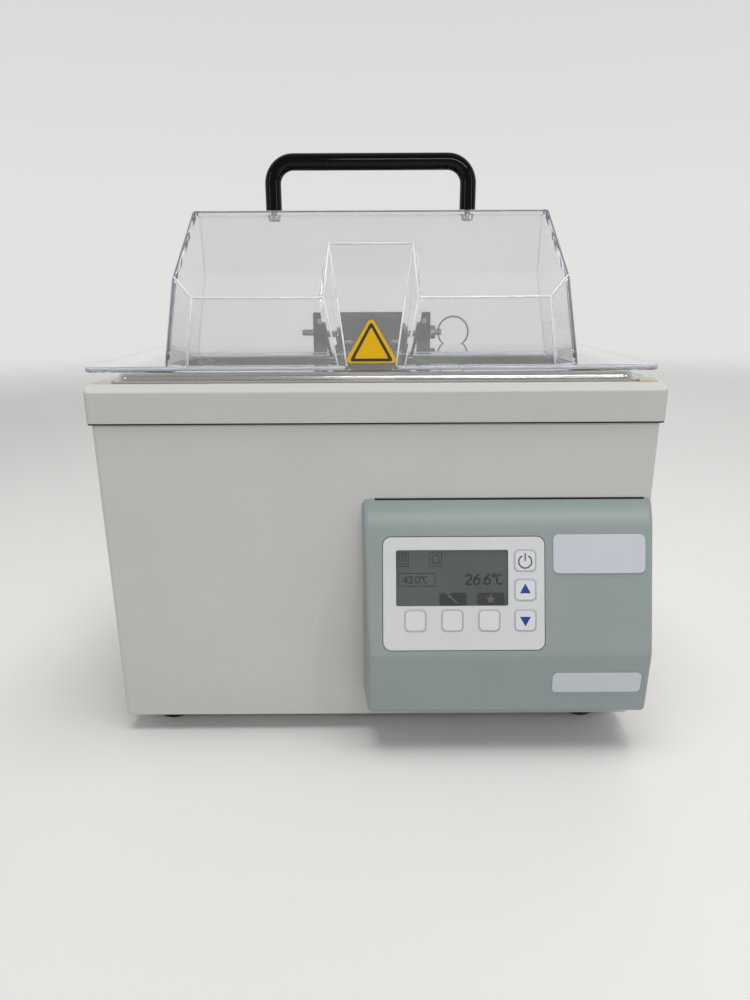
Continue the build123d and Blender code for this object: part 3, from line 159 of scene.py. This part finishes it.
BRUSHED = (0.02, 1.0, 1.0)
MATERIALS = {
    "case_paint": dict(tone=colour(193, 192, 190), spread=0.02, rough=(0.42, 0.5), grain=1300, depth=0.02),
    "cover_plastic": dict(
        tone=colour(188, 187, 185), spread=0.02, rough=(0.4, 0.5), grain=1700, depth=0.015,
    ),
    "housing_plastic": dict(
        tone=colour(139, 150, 149), spread=0.025, rough=(0.3, 0.38), grain=1900, depth=0.02,
    ),
    "stainless": dict(
        tone=colour(205, 203, 199), spread=0.03, rough=(0.16, 0.3), grain=900, depth=0.006,
        stretch=BRUSHED, Metallic=0.75,
    ),
    "foot_rubber": dict(tone=colour(28, 28, 29), spread=0.15, rough=(0.7, 0.85), grain=1200, depth=0.05),
    "seal_rubber": dict(tone=colour(190, 190, 186), spread=0.05, rough=(0.5, 0.65), grain=900, depth=0.03),
    "joint_seal": dict(tone=colour(26, 26, 27), spread=0.1, rough=(0.75, 0.9), grain=1500, depth=0.03),
    "foam": dict(
        tone=colour(92, 92, 90), spread=0.2, rough=(0.9, 1.0), pattern="cells", grain=700,
        depth=0.6,
    ),
    "heater_silicone": dict(
        tone=colour(176, 78, 42), spread=0.08, rough=(0.5, 0.6), pattern="lines", grain=160,
        depth=0.1,
    ),
    "screw_steel": dict(
        tone=colour(196, 196, 198), spread=0.06, rough=(0.2, 0.36), grain=2600, depth=0.01,
        Metallic=1.0,
    ),
    "sensor_steel": dict(
        tone=colour(186, 186, 188), spread=0.05, rough=(0.25, 0.4), grain=1500, depth=0.01,
        stretch=BRUSHED, Metallic=1.0,
    ),
    "cutout_body": dict(tone=colour(46, 40, 36), spread=0.1, rough=(0.4, 0.55), grain=1500, depth=0.03),
    "circuit_board": dict(
        tone=colour(24, 92, 58), spread=0.18, patch=260, rough=(0.3, 0.45), pattern="cells",
        grain=420, depth=0.05,
    ),
    "heatsink_alloy": dict(
        tone=colour(150, 152, 156), spread=0.05, rough=(0.35, 0.5), grain=1200, depth=0.02,
        Metallic=1.0,
    ),
    "terminal_plastic": dict(
        tone=colour(58, 110, 74), spread=0.06, rough=(0.4, 0.5), grain=1500, depth=0.03,
    ),
    "lead_cover": dict(tone=colour(60, 62, 70), spread=0.08, rough=(0.45, 0.6), grain=900, depth=0.03),
    "ribbon": dict(
        tone=colour(150, 152, 160), spread=0.04, rough=(0.45, 0.6), pattern="lines", grain=260,
        depth=0.2,
    ),
    "black_plastic": dict(
        tone=colour(34, 34, 36), spread=0.12, rough=(0.42, 0.56), grain=1600, depth=0.03, wear=0.15,
    ),
    "rocker_plastic": dict(
        tone=colour(20, 20, 21), spread=0.1, rough=(0.28, 0.4), grain=1600, depth=0.015, wear=0.15,
    ),
    "brass_pins": dict(
        tone=colour(205, 176, 96), spread=0.06, rough=(0.2, 0.34), grain=1800, depth=0.01,
        Metallic=1.0,
    ),
    "fuse_glass": dict(tone=colour(198, 204, 204), spread=0.04, rough=(0.08, 0.16), grain=600, depth=0.005),
    "blank_plate": dict(
        tone=colour(190, 195, 202), spread=0.015, rough=(0.3, 0.42), grain=1500, depth=0.008,
    ),
    "overlay_film": dict(
        tone=colour(201, 204, 203), spread=0.012, rough=(0.36, 0.46), grain=2400, depth=0.01,
    ),
    "key_film": dict(tone=colour(206, 209, 208), spread=0.012, rough=(0.34, 0.44), grain=2400, depth=0.01),
    "window_clear": dict(
        tone=(0.94, 0.95, 0.95, 1.0), spread=0.01, rough=(0.04, 0.1), grain=900, depth=0.002,
        Transmission_Weight=1.0, IOR=1.15,
    ),
    "display_grey": dict(tone=colour(74, 80, 78), spread=0.05, rough=(0.35, 0.5), grain=1500, depth=0.01),
    "switch_black": dict(tone=colour(30, 30, 31), spread=0.1, rough=(0.4, 0.5), grain=1500, depth=0.02),
    "lid_clear": dict(
        tone=(0.93, 0.932, 0.936, 1.0),
        spread=0.01,
        rough=(0.0, 0.03),
        grain=60,
        depth=0.01,
        Transmission_Weight=0.95,
        IOR=1.12,
        Coat_Weight=1.0,
        Coat_Roughness=0.03,
    ),
    "handle_black": dict(
        tone=colour(3, 3, 5), spread=0.15, rough=(0.05, 0.1), grain=900, depth=0.004,
        Specular_IOR_Level=0.2,
    ),
    "pin_steel": dict(
        tone=colour(150, 150, 152), spread=0.08, rough=(0.26, 0.4), grain=1800, depth=0.01,
        Metallic=1.0,
    ),
    "sticker": dict(
        tone=colour(206, 160, 2), spread=0.02, rough=(0.35, 0.45), grain=1500, depth=0.01,
        Specular_IOR_Level=0.15,
    ),
}
LID_TINT = (0.9, 0.91, 0.91, 1.0)

made_for = {}
for slot_name, look in MATERIALS.items():
    made_for[slot_name] = material(slot_name, **look)
for clear in ("lid_clear", "window_clear"):
    let_light_through(made_for[clear], LID_TINT)

for node_name, node in frame["nodes"].items():
    node.data.materials.clear()
    node.data.materials.append(made_for[SLOT_OF[node_name]])


# ---------------------------------------------------------------- new pieces
def new_object(name, work, made, place=None):
    """Object made from a bmesh, in one material."""
    mesh = bpy.data.meshes.new(name)
    work.to_mesh(mesh)
    work.free()
    if place is not None:
        mesh.transform(place)
    mesh.materials.append(made)
    piece = bpy.data.objects.new(name, mesh)
    bpy.context.scene.collection.objects.link(piece)
    return piece


def new_piece(name, work, made, body, place=None):
    """Piece that moves with a body, in one material."""
    piece = new_object(name, work, made, place)
    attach(piece, body)
    return piece


def arc_angles(count):
    """Angles evenly spaced round a circle."""
    return [math.tau * i / count for i in range(count)]


# ---------------------------------------------------------------- flat drawing
def front(node, facing, keep=None):
    """Matrix of a node's flat front: origin in its middle, x across, y up and z out, in mm.

    facing is -1 for a front that looks along -Y and 1 for one that looks along +Y. keep picks
    the faces to use, where a node has more than one front.
    """
    mesh = frame["nodes"][node].data
    faces = [face for face in mesh.polygons if face.normal.y * facing > 0.3]
    faces = [face for face in faces if keep is None or keep(face.center)]
    out = max(faces, key=lambda face: face.area).normal.normalized()
    across = Vector((-facing, 0.0, 0.0))
    up = out.cross(across).normalized()
    used = [mesh.vertices[i].co for face in faces for i in face.vertices]
    if keep is None:
        used = [vertex.co for vertex in mesh.vertices]
    middle = Vector()
    for axis, place in ((across, 0.5), (up, 0.5), (out, 1.0)):
        reach = [point.dot(axis) for point in used]
        middle += axis * (min(reach) + (max(reach) - min(reach)) * place)
    turn = Matrix((across, up, out)).transposed().to_4x4()
    return Matrix.Translation(middle) @ turn @ Matrix.Scale(MM, 4)


def draw(name, place, shapes, level, thick, made, body):
    """Thin raised print: shapes are lists of outlines, each pair of loops a ring."""
    work = bmesh.new()
    for shape in shapes:
        loops = [[work.verts.new((x, y, level)) for x, y in loop] for loop in shape]
        if len(loops) == 1:
            work.faces.new(loops[0])
            continue
        outer, inner = loops
        for i in range(len(outer)):
            j = (i + 1) % len(outer)
            work.faces.new((outer[i], outer[j], inner[j], inner[i]))
    bmesh.ops.recalc_face_normals(work, faces=work.faces)
    raised = bmesh.ops.extrude_face_region(work, geom=list(work.faces))
    lifted = [item for item in raised["geom"] if isinstance(item, bmesh.types.BMVert)]
    bmesh.ops.translate(work, verts=lifted, vec=(0, 0, thick))
    bmesh.ops.recalc_face_normals(work, faces=work.faces)
    new_piece(name, work, made, body, place)


def rounded(x0, x1, y0, y1, radius, steps=6):
    """Rounded rectangle, anticlockwise."""
    points = []
    corners = ((x1, y0, -90), (x1, y1, 0), (x0, y1, 90), (x0, y0, 180))
    for x, y, start in corners:
        cx = x - math.copysign(radius, x - (x0 + x1) / 2)
        cy = y - math.copysign(radius, y - (y0 + y1) / 2)
        for step in range(steps + 1):
            angle = math.radians(start + 90 * step / steps)
            points.append((cx + radius * math.cos(angle), cy + radius * math.sin(angle)))
    return points


def frame_line(x0, x1, y0, y1, radius, line):
    """Rounded rectangle drawn as a line, its outer edge on the given sides."""
    inner = rounded(x0 + line, x1 - line, y0 + line, y1 - line, max(radius - line, 0.01))
    return [rounded(x0, x1, y0, y1, radius), inner]


def stroke(points, line, closed=False):
    """Quads along a path, as outlines of their own, with square joins."""
    pairs = list(zip(points, points[1:] + points[:1]))
    if not closed:
        pairs = pairs[:-1]
    shapes = []
    for (x0, y0), (x1, y1) in pairs:
        length = math.dist((x0, y0), (x1, y1))
        ax, ay = (x1 - x0) / length, (y1 - y0) / length
        nx, ny = -ay * line / 2, ax * line / 2
        lap = line * 0.2
        x0, y0, x1, y1 = x0 - ax * lap, y0 - ay * lap, x1 + ax * lap, y1 + ay * lap
        shapes.append([[(x0 - nx, y0 - ny), (x1 - nx, y1 - ny), (x1 + nx, y1 + ny), (x0 + nx, y0 + ny)]])
    return shapes


def ring_band(x, y, outer, line, start=0.0, sweep=360.0, steps=40):
    """Part of a circular band, as small quads."""
    shapes = []
    for step in range(steps):
        angles = [math.radians(start + sweep * (step + more) / steps) for more in (0, 1)]
        (c0, s0), (c1, s1) = [(math.cos(angle), math.sin(angle)) for angle in angles]
        inner = outer - line
        loop = [(x + inner * c0, y + inner * s0), (x + outer * c0, y + outer * s0)]
        loop += [(x + outer * c1, y + outer * s1), (x + inner * c1, y + inner * s1)]
        shapes.append([loop])
    return shapes


def arc(x, y, rx, ry, start, end, steps=10):
    """Points along an ellipse, from start to end in degrees."""
    angles = [math.radians(start + (end - start) * step / steps) for step in range(steps + 1)]
    return [(x + rx * math.cos(angle), y + ry * math.sin(angle)) for angle in angles]


GLYPHS = {
    "0": [arc(0.3, 0.7, 0.3, 0.3, 0, 180) + arc(0.3, 0.3, 0.3, 0.3, 180, 360) + [(0.6, 0.7)]],
    "2": [arc(0.3, 0.72, 0.3, 0.28, 170, -35) + [(0.0, 0.0), (0.62, 0.0)]],
    "4": [[(0.46, 0.0), (0.46, 1.0), (0.0, 0.3), (0.64, 0.3)]],
    "6": [arc(0.3, 0.3, 0.3, 0.3, 0, 360, 16), [(0.52, 1.0), (0.24, 0.8), (0.03, 0.46), (0.0, 0.3)]],
    ".": [[(0.0, 0.0), (0.0, 0.08)]],
    "C": [arc(0.32, 0.5, 0.32, 0.5, 52, 308, 16)],
    "o": [arc(0.16, 0.88, 0.15, 0.15, 0, 360, 12)],
}
ADVANCE = {".": 0.24, "o": 0.42}


def figures(text, x, y, height, line):
    """Numbers and a unit as strokes, from the lower left corner."""
    shapes = []
    for sign in text:
        for path in GLYPHS[sign]:
            shapes += stroke([(x + px * height, y + py * height) for px, py in path], line)
        x += ADVANCE.get(sign, 0.82) * height
    return shapes


# ---------------------------------------------------------------- keys
# Thickness of printed marks, and the printed line round a key, in mm.
PRINT = 0.02
KEY_HALF, KEY_ROUND, KEY_LINE = 6.25, 2.9, 0.36
lavender = material("key_line", colour(122, 124, 170), rough=(0.35, 0.45), grain=2400, depth=0.004)
blue = material("key_blue", colour(34, 48, 150), rough=(0.35, 0.45), grain=2400, depth=0.004)
slate = material("key_slate", colour(52, 58, 102), rough=(0.35, 0.45), grain=2400, depth=0.004)

POWER_STEM = [[(-0.4, -0.2), (0.4, -0.2), (0.4, 4.6), (-0.4, 4.6)]]
POWER = ring_band(0, -0.6, 4.3, 0.85, start=118, sweep=304) + [POWER_STEM]
KEY_MARKS = {
    "key_power": (POWER, slate),
    "key_up": ([[[(-3.3, -2.0), (3.3, -2.0), (0.0, 3.9)]]], blue),
    "key_down": ([[[(-3.3, 2.1), (0.0, -3.8), (3.3, 2.1)]]], blue),
}
KEY_NODES = ("key_power", "key_up", "key_down", "key_soft_left", "key_soft_middle", "key_soft_right")
key_outline = [frame_line(-KEY_HALF, KEY_HALF, -KEY_HALF, KEY_HALF, KEY_ROUND, KEY_LINE)]
for key in KEY_NODES:
    place = front(key, -1)
    draw(key + "_outline", place, key_outline, 0.0, PRINT, lavender, BODY_OF[key])
    if key in KEY_MARKS:
        shapes, made = KEY_MARKS[key]
        draw(key + "_mark", place, shapes, 0.0, PRINT, made, BODY_OF[key])


# ---------------------------------------------------------------- display
glass_look = material(
    "display_glass", colour(76, 83, 77), spread=0.06, patch=30, rough=(0.3, 0.4), grain=2600,
    depth=0.004, Coat_Weight=0.3,
)
ink = material("display_ink", colour(24, 27, 24), spread=0.04, rough=(0.35, 0.45), grain=2600, depth=0.004)
tab_ink = material(
    "display_tab", colour(44, 46, 43), spread=0.05, rough=(0.35, 0.45), grain=2600, depth=0.004,
)
tab_mark = material(
    "display_tab_mark", colour(88, 95, 89), spread=0.04, rough=(0.35, 0.45), grain=2600,
    depth=0.004,
)

GLASS_BACK, GLASS_THICK = -0.55, 0.3
GLASS_FACE = GLASS_BACK + GLASS_THICK
screen = front("display_module", -1)
glass = [[rounded(-34.0, 34.0, -17.0, 17.0, 0.5)]]
draw("display_glass", screen, glass, GLASS_BACK, GLASS_THICK, glass_look, "base")


def wave(x, y0, y1, swing):
    """Upright wavy path."""
    count = 12
    steps = [i / count for i in range(count + 1)]
    return [(x + swing * math.sin(math.tau * step), y0 + (y1 - y0) * step) for step in steps]


icons = [frame_line(-33.4, -25.9, 6.8, 15.3, 0.2, 0.42)]
for x in (-31.6, -29.6, -27.7):
    icons += stroke(wave(x, 9.6, 14.2, 0.4), 0.5)
icons += stroke([(-32.4, 8.4), (-26.9, 8.4)], 0.4)
icons += [frame_line(-13.4, -6.0, 6.9, 15.3, 0.2, 0.42)]
bell = [(-12.3, 9.0), (-11.5, 9.8)] + arc(-9.7, 12.0, 1.7, 1.9, 180, 0)
bell += [(-7.9, 9.8), (-7.1, 9.0), (-12.3, 9.0)]
icons += stroke(bell, 0.5)
icons += ring_band(-9.7, 8.5, 0.7, 0.35, start=180, sweep=180, steps=8)
icons += [frame_line(-32.7, -9.9, -5.1, 3.0, 0.2, 0.42)]
icons += figures("42.0oC", -29.2, -3.0, 3.9, 0.55)
icons += figures("26.6oC", 8.2, -4.0, 6.0, 0.95)
draw("display_figures", screen, icons, GLASS_FACE, PRINT, ink, "base")

TABS = ((-7.6, 8.7), (15.1, 31.5))
tabs = [[rounded(x0, x1, -16.8, -9.0, 1.5)] for x0, x1 in TABS]
draw("display_tabs", screen, tabs, GLASS_FACE, PRINT, tab_ink, "base")

STAR_X, STAR_Y, STAR_TIP, STAR_DENT = 23.3, -13.0, 3.0, 1.2
star = []
for i in range(10):
    reach = STAR_TIP if i % 2 == 0 else STAR_DENT
    angle = math.radians(90 + 36 * i)
    star.append((STAR_X + reach * math.cos(angle), STAR_Y + reach * math.sin(angle)))
tool = stroke([(-2.0, -10.6), (3.0, -15.2)], 0.9)
tool += ring_band(-2.4, -10.3, 1.5, 0.7, start=180, sweep=-270)
tab_marks = [[star]] + tool
draw("display_tab_marks", screen, tab_marks, GLASS_FACE + PRINT, PRINT, tab_mark, "base")


# ---------------------------------------------------------------- bends and edges of the clear lid, as rods with painted highlights and painted shade
ROD_PROFILE = ((0, -0.6, 0.5), (0, 0.0, 1.0), (1, 0.0, 1.0), (1, 0.6, 0.5))


def rods(name, paths, radius, made, body, sides=8):
    """Round rods with softened ends along straight runs, points in millimetres."""
    work = bmesh.new()
    for path in paths:
        for ends in zip(path, path[1:]):
            ends = [Vector(end) for end in ends]
            ahead = (ends[1] - ends[0]).normalized()
            turn = ahead.to_track_quat("Z", "Y")
            rings = []
            for end, shift, size in ROD_PROFILE:
                middle = ends[end] + ahead * shift * radius
                ring = []
                for angle in arc_angles(sides):
                    spoke = turn @ Vector((math.cos(angle), math.sin(angle), 0.0))
                    ring.append(work.verts.new((middle + spoke * size * radius) * MM))
                rings.append(ring)
            for lower, upper in zip(rings, rings[1:]):
                for i in range(sides):
                    j = (i + 1) % sides
                    work.faces.new((lower[i], lower[j], upper[j], upper[i]))
            work.faces.new(rings[0][::-1])
            work.faces.new(rings[-1])
    for face in work.faces:
        face.smooth = True
    new_piece(name, work, made, body)


LID_LOW, LID_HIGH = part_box("lid_shell")
DOME_MIDDLE = Vector((0.0, 55.0, 3.0))


def on_lid(x, y, z, depth=1.5):
    """Point of the dome in mm, from the flange's middle, front and underside, sunk into the wall."""
    point = Vector((x, y, z))
    point += (DOME_MIDDLE - point).normalized() * depth
    return point + Vector(((LID_LOW.x + LID_HIGH.x) / 2, LID_LOW.y, LID_LOW.z)) / MM


# Corners of the dome's right half, from the flange's middle, front and underside, in mm.
FOOT, SHOULDER, RIDGE = 3.4, 42.4, 93.9
DOME_CORNERS = {
    "front_foot": (110.6, 6.3, FOOT),
    "crease_inner": (28.6, 8.5, SHOULDER),
    "crease_outer": (106.0, 8.5, SHOULDER),
    "recess_foot": (20.7, 6.3, FOOT),
    "recess_top": (26.2, 37.4, 74.4),
    "valley_foot": (15.5, 10.0, FOOT),
    "valley_bend": (21.3, 24.9, SHOULDER),
    "end_foot": (126.3, 18.0, FOOT),
    "end_knee": (118.1, 19.2, 54.3),
    "ridge_front": (111.7, 55.0, RIDGE),
    "ridge_rear": (111.7, 67.0, RIDGE),
    "rear_knee": (117.6, 98.0, 57.4),
    "rear_foot": (126.3, 97.5, FOOT),
}
BENDS = (
    ("crease_inner", "crease_outer"),
    ("front_foot", "crease_outer", "end_knee"),
    ("recess_foot", "crease_inner", "recess_top"),
    ("valley_foot", "valley_bend", "recess_top"),
)
EDGES = (
    ("end_foot", "end_knee", "ridge_front", "ridge_rear"),
    ("ridge_rear", "rear_knee", "rear_foot"),
)
BOTH_SIDES = (-1, 1)


def both_halves(lines):
    """Paths through the named corners, on the left half of the dome and then on the right."""
    return [
        [on_lid(side * DOME_CORNERS[name][0], *DOME_CORNERS[name][1:]) for name in line]
        for side in BOTH_SIDES
        for line in lines
    ]


def across(name):
    """Path from a corner of the left half to the same corner of the right."""
    x, y, z = DOME_CORNERS[name]
    return [on_lid(side * x, y, z) for side in BOTH_SIDES]


bend_paths = both_halves(BENDS) + [across("recess_top")]
edge_paths = both_halves(EDGES) + [across("ridge_front"), across("ridge_rear")]
PAINTED_EDGE_SURFACE = dict(rough=(0.15, 0.25), grain=900, depth=0.01)
# Pale rods along the lid's bends are painted highlights: near-white lines where the rounded bends catch the
# light.
painted_bend_highlight = material("lid_bend_painted_highlight", colour(247, 248, 249), **PAINTED_EDGE_SURFACE, Transmission_Weight=0.2)
# Blue-grey rods along the dome's outer edges and ridge are painted edge shade: the darkening a clear sheet
# shows along its outline.
painted_edge_shade = material("lid_edge_painted_shade", colour(138, 144, 160), **PAINTED_EDGE_SURFACE, Transmission_Weight=0.3)
# The pale blue-grey rod round the flange is painted edge shade on the clear flange's edge.
painted_flange_shade = material("lid_flange_edge_painted_shade", colour(196, 203, 214), **PAINTED_EDGE_SURFACE, Transmission_Weight=0.3)
rods("lid_bends", bend_paths, 0.6, painted_bend_highlight, "lid")
rods("lid_edges", edge_paths, 0.5, painted_edge_shade, "lid")

# Path of the flange's painted edge shade rod, round the flange and up to the front notch.
FLANGE_MID, FLANGE_INSET, FLANGE_ROUND = 1.6, 1.7, 7.3
NOTCH_REACH = 16.0
low = LID_LOW / MM + Vector((FLANGE_INSET, FLANGE_INSET, FLANGE_MID))
high = LID_HIGH / MM - Vector((FLANGE_INSET, FLANGE_INSET, 0.0))
middle_x = (low.x + high.x) / 2
flange = [(middle_x + NOTCH_REACH, low.y), *rounded(low.x, high.x, low.y, high.y, FLANGE_ROUND)]
flange.append((middle_x - NOTCH_REACH, low.y))
flange_path = [(x, y, low.z) for x, y in flange]
rods("lid_flange_edge_painted_shade", [flange_path], 1.1, painted_flange_shade, "lid")


# ---------------------------------------------------------------- stickers and plates
black_ink = material("sticker_black", colour(24, 22, 18), rough=(0.4, 0.5), grain=1500, depth=0.004)
grey_ink = material("plate_grey", colour(120, 122, 128), rough=(0.4, 0.5), grain=1500, depth=0.004)
white_ink = material("switch_white", colour(214, 214, 210), rough=(0.4, 0.5), grain=1500, depth=0.004)


def triangle(half, base, apex, radius, steps=5):
    """Rounded triangle standing on its base, anticlockwise."""
    corners = [Vector(corner) for corner in ((-half, base), (half, base), (0.0, apex))]
    points = []
    for i, corner in enumerate(corners):
        behind = (corner - corners[i - 1]).normalized()
        ahead = (corners[(i + 1) % 3] - corner).normalized()
        turn = math.acos(behind.dot(ahead))
        centre = corner + (ahead - behind).normalized() * radius / math.cos(turn / 2)
        begin = math.degrees(math.atan2(-behind.x, behind.y))
        points += arc(centre.x, centre.y, radius, radius, begin, begin + math.degrees(turn), steps)
    return points


band = [triangle(13.3, -12.4, 12.4, 1.2), triangle(10.2, -10.6, 8.7, 0.5)]
draw("lid_sticker_band", front("lid_sticker", -1), [band], 0.0, PRINT, black_ink, "lid")

TABLE_X, TABLE_Y, TABLE_ROWS, TABLE_COLUMN = 29.5, 17.5, 5, -8.0
FRAME_LINE, INNER_LINE = 0.4, 0.25
line_x, line_y = TABLE_X - FRAME_LINE / 2, TABLE_Y - FRAME_LINE / 2
table = [frame_line(-TABLE_X, TABLE_X, -TABLE_Y, TABLE_Y, 2.0, FRAME_LINE)]
for row in range(1, TABLE_ROWS):
    y = TABLE_Y * (2 * row / TABLE_ROWS - 1)
    table += stroke([(-line_x, y), (line_x, y)], INNER_LINE)
table += stroke([(TABLE_COLUMN, -line_y), (TABLE_COLUMN, line_y)], INNER_LINE)
draw("rating_plate_table", front("rating_plate", 1), table, 0.0, PRINT, grey_ink, "base")

rocker_middle = sum(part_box("power_rocker"), Vector()) / 2
upper = front("power_rocker", 1, keep=lambda point: point.z > rocker_middle.z and point.y > rocker_middle.y)
lower = front("power_rocker", 1, keep=lambda point: point.z < rocker_middle.z and point.y > rocker_middle.y)
MARK_SINK, MARK_THICK = 0.02, 0.04
bar = [[[(-0.3, -1.6), (0.3, -1.6), (0.3, 1.6), (-0.3, 1.6)]]]
ring = ring_band(0, 0, 1.8, 0.45)
draw("rocker_on", upper, bar, -MARK_SINK, MARK_THICK, white_ink, "rocker")
draw("rocker_off", lower, ring, -MARK_SINK, MARK_THICK, white_ink, "rocker")


# ---------------------------------------------------------------- floor, lights and camera
FLOOR_NEAR, FLOOR_FAR = 0.9, 3.2
WORLD_FRONT, WORLD_BACK, WORLD_OVER = 0.34, 0.76, 0.7


def studio_floor():
    """Pale round floor that fades into the background far from the object."""
    turns = 96
    work = bmesh.new()
    rim = [work.verts.new((FLOOR_FAR * math.cos(a), FLOOR_FAR * math.sin(a), 0)) for a in arc_angles(turns)]
    work.faces.new(rim)
    made = material(
        "studio_floor", colour(214, 213, 211), spread=0.01, patch=2, rough=(0.6, 0.7), grain=300,
        depth=0.02,
    )
    tree = made.node_tree
    place = add(tree, "ShaderNodeTexCoord").outputs["Object"]
    reach = add(tree, "ShaderNodeVectorMath", Vector=place)
    reach.operation = "LENGTH"
    fade = add(
        tree, "ShaderNodeMapRange", Value=reach.outputs["Value"], From_Min=FLOOR_NEAR,
        From_Max=FLOOR_FAR,
    )
    fade.interpolation_type = "SMOOTHSTEP"
    clear = add(tree, "ShaderNodeBsdfTransparent").outputs["BSDF"]
    mixed = add(tree, "ShaderNodeMixShader", Fac=fade.outputs["Result"])
    tree.links.new(tree.nodes["Principled BSDF"].outputs["BSDF"], mixed.inputs[1])
    tree.links.new(clear, mixed.inputs[2])
    tree.links.new(mixed.outputs["Shader"], tree.nodes["Material Output"].inputs["Surface"])
    new_object("studio_floor", work, made)


def studio_world():
    """Pale surroundings: brightest behind the object, dimmer in front of it and overhead."""
    world = bpy.data.worlds.new("studio_world")
    world.use_nodes = True
    tree = world.node_tree
    away = add(tree, "ShaderNodeSeparateXYZ", Vector=add(tree, "ShaderNodeTexCoord").outputs["Generated"])
    around = add(tree, "ShaderNodeMapRange", Value=away.outputs["Y"], From_Min=-0.5, From_Max=0.6)
    around.inputs["To Min"].default_value, around.inputs["To Max"].default_value = WORLD_FRONT, WORLD_BACK
    around.interpolation_type = "SMOOTHSTEP"
    over = add(tree, "ShaderNodeMapRange", Value=away.outputs["Z"], From_Min=0.1, From_Max=0.9)
    over.inputs["To Min"].default_value, over.inputs["To Max"].default_value = 1.0, WORLD_OVER
    both = add(tree, "ShaderNodeMath", Value=around.outputs["Result"])
    both.operation = "MULTIPLY"
    tree.links.new(over.outputs["Result"], both.inputs[1])
    background = tree.nodes["Background"]
    background.inputs["Color"].default_value = (1.0, 0.998, 0.985, 1.0)
    tree.links.new(both.outputs["Value"], background.inputs["Strength"])
    bpy.context.scene.world = world


def area_light(name, place, aim, size, watts, mirrored):
    """Soft rectangular light aimed at a point, unseen by the camera and, if not mirrored, in gloss."""
    data = bpy.data.lights.new(name, "AREA")
    data.shape = "RECTANGLE"
    data.size, data.size_y = size
    data.energy = watts
    light = bpy.data.objects.new(name, data)
    light.location = place
    light.rotation_euler = (Vector(aim) - Vector(place)).to_track_quat("-Z", "Y").to_euler()
    light.visible_camera = False
    light.visible_glossy = light.visible_transmission = mirrored
    bpy.context.scene.collection.objects.link(light)


studio_floor()
studio_world()
# name, place, aim, size, watts, seen in gloss
LIGHTS = (
    ("light_top", (0.1, -0.25, 1.8), (0, 0, 0.2), (1.4, 0.9), 23, False),
    ("light_front", (0.5, -1.9, 1.3), (0, 0, 0.15), (1.3, 0.16), 10, True),
    ("light_left", (-1.5, -1.3, 0.72), (0, 0, 0.2), (0.12, 1.0), 2.5, True),
    ("light_right", (1.5, -1.3, 0.72), (0, 0, 0.2), (0.12, 1.0), 3, True),
    ("light_back", (0.9, 1.6, 1.2), (0, 0, 0.2), (1.2, 0.8), 6, False),
)
for light in LIGHTS:
    area_light(*light)
bpy.context.scene.view_settings.view_transform = "Standard"

CAMERA_PLACE = (-0.0013, -0.5111, 0.2818)
CAMERA_YAW, CAMERA_PITCH, CAMERA_ROLL = (math.radians(angle) for angle in (0.071, 16.226, -0.277))
SENSOR, LENS = 36.0, 26.05
camera_data = bpy.data.cameras.new("camera")
camera_data.sensor_width = SENSOR
camera_data.lens = LENS
camera_data.clip_start = 0.01
camera = bpy.data.objects.new("camera", camera_data)
camera.matrix_world = (
    Matrix.Translation(CAMERA_PLACE)
    @ Matrix.Rotation(-CAMERA_YAW, 4, "Z")
    @ Matrix.Rotation(math.pi / 2 - CAMERA_PITCH, 4, "X")
    @ Matrix.Rotation(CAMERA_ROLL, 4, "Z")
)
bpy.context.scene.collection.objects.link(camera)
bpy.context.scene.camera = camera
